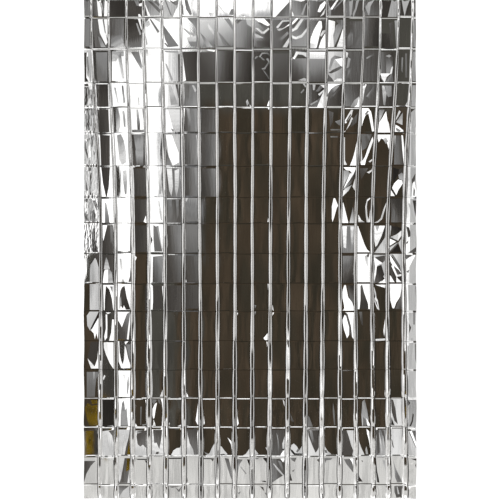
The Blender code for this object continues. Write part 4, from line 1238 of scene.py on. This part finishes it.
def foldNormals(mesh):
    # the surface's own normal a little inside each corner of each face, so that every fold stays crisp
    corners = np.empty(len(mesh.loops), np.int32)
    mesh.loops.foreach_get("vertex_index", corners)
    counts = np.empty(len(mesh.polygons), np.int32)
    mesh.polygons.foreach_get("loop_total", counts)
    faceOf = np.repeat(np.arange(len(counts)), counts)
    faceNormal = np.empty(3 * len(counts))
    mesh.polygons.foreach_get("normal", faceNormal)
    upward = faceNormal.reshape(-1, 3)[faceOf, 2]
    place = np.empty(3 * len(mesh.vertices))
    mesh.attributes["foldPlace"].data.foreach_get("vector", place)
    place = place.reshape(-1, 3)[corners, :2]
    starts = np.cumsum(counts) - counts
    centre = np.stack([np.bincount(faceOf, place[:, n]) / counts for n in (0, 1)], -1)[faceOf]
    order = np.arange(len(corners)) - starts[faceOf]
    after = place[starts[faceOf] + (order + 1) % counts[faceOf]]
    before = place[starts[faceOf] + (order - 1) % counts[faceOf]]
    inset, step = 0.04, 0.03  # as shares of the face
    start = place + inset * (centre - place)
    points = []
    for spot in (start, start + step * (after - place), start + step * (before - place)):
        points.append(np.stack(foilSurface(spot[:, 0], downAt(spot[:, 1]), facets=False), -1))
    normal = np.cross(points[1] - points[0], points[2] - points[0])
    length = np.linalg.norm(normal, axis=1, keepdims=True)
    normal = normal / np.maximum(length, 1e-20)
    down = downAt(start[:, 1])
    faceX, faceDown = (np.bincount(faceOf, value) / counts for value in (points[0][:, 0], down))
    inFacet, slopes = facetSlopes(points[0][:, 0], down, faceX[faceOf], faceDown[faceOf])
    nearestFold = downAt(np.round(centre[:, 1]))
    inFacet &= np.abs(faceDown[faceOf] - nearestFold) > foilSheet["creaseHalf"]
    inFacet &= np.floor(centre[:, 0]) % 2 == 0  # ridges and crosswise folds stay as they are
    turned = np.hstack([-slopes, np.ones((len(down), 1))]) * np.where(normal[:, 2:] < 0, -1, 1)
    turned = turned / np.linalg.norm(turned, axis=1, keepdims=True)
    normal = np.where(inFacet[:, None], turned, normal)
    known = (np.abs(upward) > 0.3) & (length[:, 0] > 1e-16)  # the rim keeps its plain normals
    normal[~known] = 0
    return normal


def joinPoints():
    # the grid's points and the facets' corners, joined by triangles along the folds and the facets' sides
    gridQ, gridDown = np.meshgrid(columnStations(), rowStations())
    ids = np.arange(gridQ.size).reshape(gridQ.shape)
    onFoot = np.flatnonzero(gridQ[0] % 1 == 0)
    foldGap = np.abs(gridDown[:, 0, None] - rowLines()).min(axis=1)
    onCrease = np.flatnonzero(foldGap < foilSheet["creaseHalf"] * 1.001)
    lines = [np.stack([ids[:-1, onFoot], ids[1:, onFoot]], -1).reshape(-1, 2),
             np.stack([ids[onCrease, :-1], ids[onCrease, 1:]], -1).reshape(-1, 2)]
    x = foilSurface(gridQ.ravel(), gridDown.ravel(), facets=False)[0].reshape(gridQ.shape)
    keep = sideGap(x.ravel(), gridDown.ravel()).reshape(gridQ.shape) > facetForm["reach"]
    keep |= np.floor(gridQ) % 2 == 1
    keep[:, onFoot] = True
    keep[onCrease] = True
    keep = keep.ravel()
    newIds = np.cumsum(keep) - 1
    points = [np.stack([x.ravel(), gridDown.ravel()], -1)[keep]]
    sides = [newIds[pair] for pair in lines]
    count = int(keep.sum())
    for facet in facetList:
        corner = count + np.arange(len(facet["corners"]))
        points.append(facet["corners"])
        sides.append(np.stack([corner, np.roll(corner, -1)], -1))
        count += len(corner)
    tolerance = 0.0002
    joined = delaunay_2d_cdt(np.vstack(points).tolist(), np.vstack(sides).tolist(), [], 0, tolerance, False)
    place = np.array([tuple(point) for point in joined[0]])
    faces = np.array(joined[2])[:, ::-1]
    x, down = place.T
    q = sheetPlace(x, down)
    corners = q[faces]  # the rim waves, and no face bridges its hollows
    rim = 0.001
    bridging = (corners.max(axis=1) < rim) | (corners.min(axis=1) > 2 * len(ridgeTable) + 1 - rim)
    print("points joined", len(place), "faces", len(faces), "bridging the rim", int(bridging.sum()))
    return q, down, faces[~bridging]


def makeFoil():
    # the joined points lie on the surface, are thinned where it is flat, and get the film's thickness below
    q, down, faces = joinPoints()
    x, y, z = foilSurface(q, down)
    mesh = bpy.data.meshes.new("foilGrid")
    mesh.vertices.add(z.size)
    mesh.vertices.foreach_set("co", np.stack([x, y, z], -1).ravel())
    mesh.loops.add(faces.size)
    mesh.loops.foreach_set("vertex_index", faces.ravel())
    mesh.polygons.add(len(faces))
    mesh.polygons.foreach_set("loop_start", np.arange(0, faces.size, 3))
    place = np.stack([q, rowAt(down), np.zeros(z.size)], -1)
    mesh.attributes.new("foldPlace", "FLOAT_VECTOR", "POINT").data.foreach_set("vector", place.ravel())
    mesh.update(calc_edges=True)
    print("foil height", round(float(z.min()), 5), round(float(z.max()), 5))
    piece = addObject("foilFilm", mesh)
    free = piece.vertex_groups.new(name="free")
    onSide = sideGap(foilSurface(q, down, facets=False)[0], down) < 0.0003  # these points keep their places
    free.add(np.flatnonzero(~onSide).tolist(), 1.0, "REPLACE")
    thin = piece.modifiers.new("thin", "DECIMATE")
    thin.ratio = min(1.0, foilSheet["keepTriangles"] / len(faces))
    thin.vertex_group = "free"
    print("kept by facets", int(onSide.sum()), "of", z.size)
    film = piece.modifiers.new("film", "SOLIDIFY")
    film.thickness = foilSheet["film"]
    film.offset = -1
    depsgraph = bpy.context.evaluated_depsgraph_get()
    finished = bpy.data.meshes.new_from_object(
        piece.evaluated_get(depsgraph), preserve_all_data_layers=True, depsgraph=depsgraph)
    piece.modifiers.clear()
    piece.data = finished
    finished.name = "foilFilm"
    finished.shade_smooth()
    finished.normals_split_custom_set(foldNormals(finished).tolist())
    print("foil film made, triangles", sum(len(p.vertices) - 2 for p in finished.polygons))
    return piece


foilFilm = makeFoil()
foilMesh = foilFilm.data


def addNode(tree, kind, inputs=None, **settings):
    # inputs gives sockets by name or number: another node's output is linked, and a value is set
    node = tree.nodes.new(kind)
    for key, value in settings.items():
        setattr(node, key, value)
    for key, value in (inputs or {}).items():
        if isinstance(value, bpy.types.NodeSocket):
            tree.links.new(value, node.inputs[key])
        else:
            node.inputs[key].default_value = value
    return node


def mathNode(tree, operation, *values):
    # one operation on numbers or sockets
    return addNode(tree, "ShaderNodeMath", dict(enumerate(values)), operation=operation).outputs[0]


def stepNode(tree, value, low, high):
    # 0 below low, 1 above high, eased between
    limits = {"Value": value, "From Min": low, "From Max": high}
    return addNode(tree, "ShaderNodeMapRange", limits, interpolation_type="SMOOTHSTEP").outputs["Result"]


def bandNode(tree, value, low, high, edge):
    # 1 between low and high, eased over edge at both ends; a missing end is open
    result = None
    if low is not None:
        result = stepNode(tree, value, low - edge, low + edge)
    if high is not None:
        falling = mathNode(tree, "SUBTRACT", 1.0, stepNode(tree, value, high - edge, high + edge))
        result = falling if result is None else mathNode(tree, "MULTIPLY", result, falling)
    return result


def patchNode(tree, across, along, acrossEdge, alongEdge):
    # 1 inside a rectangle with soft edges; across and along are each (value, (low, high))
    return mathNode(tree, "MULTIPLY", bandNode(tree, across[0], *across[1], acrossEdge),
                    bandNode(tree, along[0], *along[1], alongEdge))


def mixNode(tree, share, first, second):
    # first where share is 0, second where it is 1; each is a colour or a socket
    inputs = {"Factor": share}
    for number, value in ((6, first), (7, second)):
        inputs[number] = value if isinstance(value, bpy.types.NodeSocket) else (*value, 1)
    return addNode(tree, "ShaderNodeMix", inputs, data_type="RGBA").outputs[2]


def mapNode(tree, place, scale=(1.0, 1.0, 1.0), turn=0.0):
    # the place turned about z, after scale
    inputs = {"Vector": place, "Rotation": (0, 0, turn), "Scale": scale}
    return addNode(tree, "ShaderNodeMapping", inputs).outputs[0]


def noiseNode(tree, place, scale, detail):
    # soft noise whose grain is scale[0] a metre across and scale[1] a metre along
    inputs = {"Vector": mapNode(tree, place, (*scale, 1.0)), "Scale": 1.0, "Detail": detail}
    return addNode(tree, "ShaderNodeTexNoise", inputs).outputs["Fac"]


foilFinishAndFoldShade = {
    "tint": (0.90, 0.895, 0.885),
    "roughness": 0.035,
    "satin": 0.015,  # added on the hatched panels near the top
    "satinAcross": (-0.29, 0.30),
    "satinAlong": (0.72, 0.97),
    "satinEdge": 0.02,
    "streakHeight": 0.00003,
    "streakSize": (110.0, 13.0),
    "crinkleHeight": 0.00014,
    "crinkleAcross": (None, -0.640),
    "crinkleAlong": (-0.02, 0.70),
    "crinkleEdges": (0.01, 0.03),  # across and along
    "crinkleScale": 120.0,
    "crinkleStretch": 0.4,  # the crinkles are this much closer across than along
    "hatchHeight": 0.000010,
    "hatchTurns": (0.72, -0.85),  # the angles of the two sets of lines
    "hatchScale": 40.0,
    "hatchWave": 1.5,
    "foldLine": 1 / 60,  # how far the painted shade line at each crosswise fold reaches, as a share of a cell
    # painted shade: the tint is darkened by this share along each crosswise fold
    "paintedFoldShade": 0.45,
}


def addMaterial(name, inputs):
    # a new material and its shader, with the inputs set
    material = bpy.data.materials.new(name)
    material.use_nodes = True
    shader = material.node_tree.nodes["Principled BSDF"]
    for key, value in inputs.items():
        shader.inputs[key].default_value = value
    return material, shader


def makeFoilMaterial():
    # bump is streaks, plus crinkles beside the left edge and two sets of waves on the satin panels
    material, shader = addMaterial("metallisedFilm", {"Metallic": 1.0})
    tree = material.node_tree
    place = addNode(tree, "ShaderNodeTexCoord").outputs["Object"]
    across, along = addNode(tree, "ShaderNodeSeparateXYZ", {0: place}).outputs[:2]
    height = mathNode(tree, "MULTIPLY", noiseNode(tree, place, foilFinishAndFoldShade["streakSize"], 3),
                      foilFinishAndFoldShade["streakHeight"])

    crinkleMask = patchNode(tree, (across, foilFinishAndFoldShade["crinkleAcross"]), (along, foilFinishAndFoldShade["crinkleAlong"]),
                            *foilFinishAndFoldShade["crinkleEdges"])
    stretched = mapNode(tree, place, (1.0, foilFinishAndFoldShade["crinkleStretch"], 1.0))
    crinkle = addNode(tree, "ShaderNodeTexVoronoi", distance="MANHATTAN",
                      inputs={"Vector": stretched, "Scale": foilFinishAndFoldShade["crinkleScale"]})
    crinkled = mathNode(tree, "MULTIPLY", crinkle.outputs["Distance"], crinkleMask)
    height = mathNode(tree, "MULTIPLY_ADD", crinkled, foilFinishAndFoldShade["crinkleHeight"], height)

    satinMask = patchNode(tree, (across, foilFinishAndFoldShade["satinAcross"]), (along, foilFinishAndFoldShade["satinAlong"]),
                          foilFinishAndFoldShade["satinEdge"], foilFinishAndFoldShade["satinEdge"])
    waves = []
    for turn in foilFinishAndFoldShade["hatchTurns"]:
        wave = addNode(tree, "ShaderNodeTexWave", bands_direction="X", inputs={
            "Vector": mapNode(tree, place, turn=turn),
            "Scale": foilFinishAndFoldShade["hatchScale"],
            "Distortion": foilFinishAndFoldShade["hatchWave"],
        })
        waves.append(wave.outputs["Fac"])
    hatched = mathNode(tree, "MULTIPLY", mathNode(tree, "ADD", *waves), satinMask)
    height = mathNode(tree, "MULTIPLY_ADD", hatched, foilFinishAndFoldShade["hatchHeight"], height)

    bump = addNode(tree, "ShaderNodeBump", {"Distance": 1.0, "Height": height})
    tree.links.new(bump.outputs[0], shader.inputs["Normal"])
    rough = mathNode(tree, "MULTIPLY_ADD", satinMask, foilFinishAndFoldShade["satin"], foilFinishAndFoldShade["roughness"])
    tree.links.new(rough, shader.inputs["Roughness"])

    # painted shade: a dark line in the base colour along each crosswise fold, standing in for the shade in
    # the crease
    foldPlace = addNode(tree, "ShaderNodeAttribute", attribute_name="foldPlace").outputs["Vector"]
    rowPlace = addNode(tree, "ShaderNodeSeparateXYZ", {0: foldPlace}).outputs[1]
    away = mathNode(tree, "PINGPONG", rowPlace, 0.5)  # 0 on each crosswise fold
    line = mathNode(tree, "SUBTRACT", 1.0, stepNode(tree, away, 0.0, foilFinishAndFoldShade["foldLine"]))
    foldShadedTint = tuple(value * foilFinishAndFoldShade["paintedFoldShade"] for value in foilFinishAndFoldShade["tint"])
    tree.links.new(mixNode(tree, line, foilFinishAndFoldShade["tint"], foldShadedTint), shader.inputs["Base Color"])
    return material


foilMesh.materials.append(makeFoilMaterial())
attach(foilFilm, "root")
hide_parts("foil_blanket")
print("foil material made")


studio = {
    "cameraHeight": viewHeight,
    "frameWidth": 2.1085,  # what the picture spans at the sheet
    "frameCentre": (0.0, -0.0042),
    "leftWall": (0.84, 0.83, 0.82),
    "rightWall": (0.56, 0.55, 0.54),
    "sideStep": 0.85,  # how far across the left wall runs into the right one
    "endShadow": (0.10, 0.10, 0.10),  # broad shadows on the end walls, seen only from low angles
    "endWalls": (-0.55, 0.55, 0.15),  # from, to, softness
    "shadowSize": (3.0, 1.5),
    "shadowRange": (0.44, 0.56),
    "blotchSize": (11.0, 3.0),  # of the patches in a panel's other colour
    "blotchRange": (0.40, 0.62),
    "panelEdge": 0.02,  # softness of a panel's edges, where the panel gives none
    "wobbleSize": 3.5,  # the edges wander by wobble
    "wobble": 0.05,
    "streakSize": (34.0, 3.5),  # all tones vary in streaks
    "streakFrom": (0.3, 0.7),
    "streakRange": (0.62, 1.45),
    "floorSize": 14.0,
    "floorTone": 0.90,
    "backdrop": 0.86,
    "lamp": 230.0,
    "lampSize": 4.0,
    "lampHeight": 4.5,
}
# a shade's tone is its power times a gain, and dark shades are warm
shadeTone = {
    "reach": 3.0,
    "power": 2.2,
    "whiteGain": 1.35,
    "gain": 1.10,
    "warmFrom": 0.46,
    "warmOver": 0.2,
    "warmth": (0.10, 0.20),  # how much green and blue go
}
white = (1.35, 1.35, 1.35)
pale = (0.66, 0.655, 0.64)
umber = (0.062, 0.046, 0.031)
olive = (0.036, 0.031, 0.022)
# each panel of the room: its range of u and v, the softness of its edges, its colour, and the colour and the
# grain of its patches; u and v are where a flat mirror under the camera would show it, from the middle
roomPanels = [
    {"u": (-5.0, 5.0), "v": (-6.0, 6.0), "edge": 0.5, "tone": (0.024, 0.023, 0.021)},
    {"u": (-2.3, 2.3), "v": (-5.0, 5.0), "edge": 0.05, "tone": pale},
    {"u": (-2.3, 2.3), "v": (-2.4, -1.30), "edge": 0.08, "tone": white},
    {"u": (-2.3, 2.3), "v": (1.3, 2.2), "edge": 0.10, "tone": white},
    {"u": (-3.0, 3.0), "v": (-0.84, 1.2), "edge": 0.03, "tone": None},  # the shades of shadeSides
    {"u": (-0.62, 1.10), "v": (-0.84, 1.35), "edge": 0.03, "tone": (0.070, 0.067, 0.058)},
    {"u": (-0.30, 1.02), "v": (-0.84, 0.60), "edge": 0.04, "tone": umber, "other": olive},
    {"u": (0.28, 1.10), "v": (1.09, 1.35), "edge": 0.03, "tone": (0.14, 0.14, 0.142)},
    {"u": (-0.78, -0.57), "v": (-0.84, 1.35), "tone": (0.050, 0.047, 0.042)},
    {"u": (-0.6, -0.30), "v": (0.10, 0.845), "tone": white},
    {"u": (-0.565, -0.49), "v": (-0.13, 0.12), "tone": white},
    {"u": (-0.452, -0.368), "v": (0.84, 0.98), "edge": 0.015, "tone": white},
    {"u": (-0.452, -0.368), "v": (0.98, 1.35), "edge": 0.015, "tone": (0.34, 0.34, 0.345)},
    {"u": (-0.368, -0.215), "v": (0.84, 1.35), "edge": 0.015, "tone": white},
    {"u": (-0.362, -0.30), "v": (0.10, 0.70), "edge": 0.03, "tone": (0.34, 0.345, 0.355), "other": white},
    {"u": (-0.31, -0.21), "v": (-0.05, 0.62), "edge": 0.03, "tone": (0.17, 0.17, 0.175),
     "other": (0.07, 0.07, 0.068)},
    {"u": (-0.215, 0.28), "v": (0.90, 1.35), "edge": 0.055, "tone": (0.40, 0.40, 0.41)},
    {"u": (-0.215, 0.25), "v": (0.985, 1.35), "tone": white},
    {"u": (-0.75, -0.63), "v": (-0.86, -0.62), "tone": (0.21, 0.135, 0.010),
     "other": (0.045, 0.032, 0.012), "grain": (34.0, 26.0)},
]


def shadeNode(tree, u):
    # the shades of the room's two sides run evenly between their places
    reach = shadeTone["reach"]
    node = addNode(tree, "ShaderNodeValToRGB", {0: mathNode(tree, "MULTIPLY_ADD", u, 0.5 / reach, 0.5)})
    ramp = node.color_ramp
    ramp.interpolation = "LINEAR"
    stops = [stop for side in ("left", "right") for stop in zip(shadeSides[side], shadeSides["shade"])]
    for place, shade in sorted(stops):
        stop = ramp.elements.new(0.5 + 0.5 * place / reach)
        tone = shade ** shadeTone["power"] * shadeTone["whiteGain" if shade == 1.0 else "gain"]
        warm = min(max((shadeTone["warmFrom"] - shade) / shadeTone["warmOver"], 0), 1)
        green, blue = (tone * (1 - share * warm) for share in shadeTone["warmth"])
        stop.color = (tone, green, blue, 1)
    ramp.elements.remove(ramp.elements[0])
    ramp.elements.remove(ramp.elements[-1])
    return node.outputs[0]


def makeRoom():
    # a direction's slope times the camera's height gives its u and v; the panels are laid over one another
    world = bpy.data.worlds.new("studioRoom")
    bpy.context.scene.world = world
    world.use_nodes = True
    tree = world.node_tree
    direction = addNode(tree, "ShaderNodeTexCoord").outputs["Generated"]
    across, along, up = addNode(tree, "ShaderNodeSeparateXYZ", {0: direction}).outputs
    rise = mathNode(tree, "MAXIMUM", up, 0.01)
    u, v = (mathNode(tree, "MULTIPLY", mathNode(tree, "DIVIDE", way, rise), studio["cameraHeight"])
            for way in (across, along))
    spot = addNode(tree, "ShaderNodeCombineXYZ", {0: u, 1: v}).outputs[0]
    cloud = noiseNode(tree, spot, (studio["wobbleSize"],) * 2, 4)
    shift = mathNode(tree, "MULTIPLY_ADD", cloud, studio["wobble"], -studio["wobble"] / 2)
    u, v = (mathNode(tree, "ADD", value, shift) for value in (u, v))
    shades = shadeNode(tree, u)
    side = stepNode(tree, across, -studio["sideStep"], studio["sideStep"])
    colour = mixNode(tree, side, studio["leftWall"], studio["rightWall"])
    shadows = stepNode(tree, noiseNode(tree, direction, studio["shadowSize"], 2), *studio["shadowRange"])
    shadows = mathNode(tree, "MULTIPLY", bandNode(tree, across, *studio["endWalls"]), shadows)
    colour = mixNode(tree, shadows, colour, studio["endShadow"])
    for panel in roomPanels:
        tone = panel["tone"] or shades
        if "other" in panel:
            grain = noiseNode(tree, spot, panel.get("grain", studio["blotchSize"]), 3)
            tone = mixNode(tree, stepNode(tree, grain, *studio["blotchRange"]), tone, panel["other"])
        edge = panel.get("edge", studio["panelEdge"])
        mask = patchNode(tree, (u, panel["u"]), (v, panel["v"]), edge, edge)
        colour = mixNode(tree, mask, colour, tone)
    vary = addNode(tree, "ShaderNodeMapRange", {
        "Value": noiseNode(tree, spot, studio["streakSize"], 3),
        "From Min": studio["streakFrom"][0],
        "From Max": studio["streakFrom"][1],
        "To Min": studio["streakRange"][0],
        "To Max": studio["streakRange"][1],
    })
    background = tree.nodes["Background"]
    tree.links.new(colour, background.inputs["Color"])
    tree.links.new(vary.outputs["Result"], background.inputs["Strength"])
    backdrop = addNode(tree, "ShaderNodeBackground", {"Color": (studio["backdrop"],) * 3 + (1,)})
    seen = addNode(tree, "ShaderNodeLightPath").outputs["Is Camera Ray"]  # the camera sees a plain backdrop
    choice = addNode(tree, "ShaderNodeMixShader", {0: seen, 1: background.outputs[0], 2: backdrop.outputs[0]})
    tree.links.new(choice.outputs[0], tree.nodes["World Output"].inputs["Surface"])


makeRoom()

bpy.ops.mesh.primitive_plane_add(size=studio["floorSize"])
floor = bpy.context.object
floor.name = "floor"
floorLook = {"Base Color": (studio["floorTone"],) * 3 + (1,), "Roughness": 0.9}
floor.data.materials.append(addMaterial("floorPaint", floorLook)[0])

lampData = bpy.data.lights.new("softLamp", "AREA")
lampData.size = studio["lampSize"]
lampData.energy = studio["lamp"]
softLamp = addObject("softLamp", lampData)
softLamp.location = (0, 0, studio["lampHeight"])
softLamp.visible_glossy = False
softLamp.visible_camera = False

cameraData = bpy.data.cameras.new("camera")
cameraData.sensor_width = 36
cameraData.lens = cameraData.sensor_width * studio["cameraHeight"] / studio["frameWidth"]
camera = addObject("camera", cameraData)
camera.location = (*studio["frameCentre"], studio["cameraHeight"])
bpy.context.scene.camera = camera
bpy.context.scene.view_settings.view_transform = "Standard"
print("room, floor, lamp and camera made")
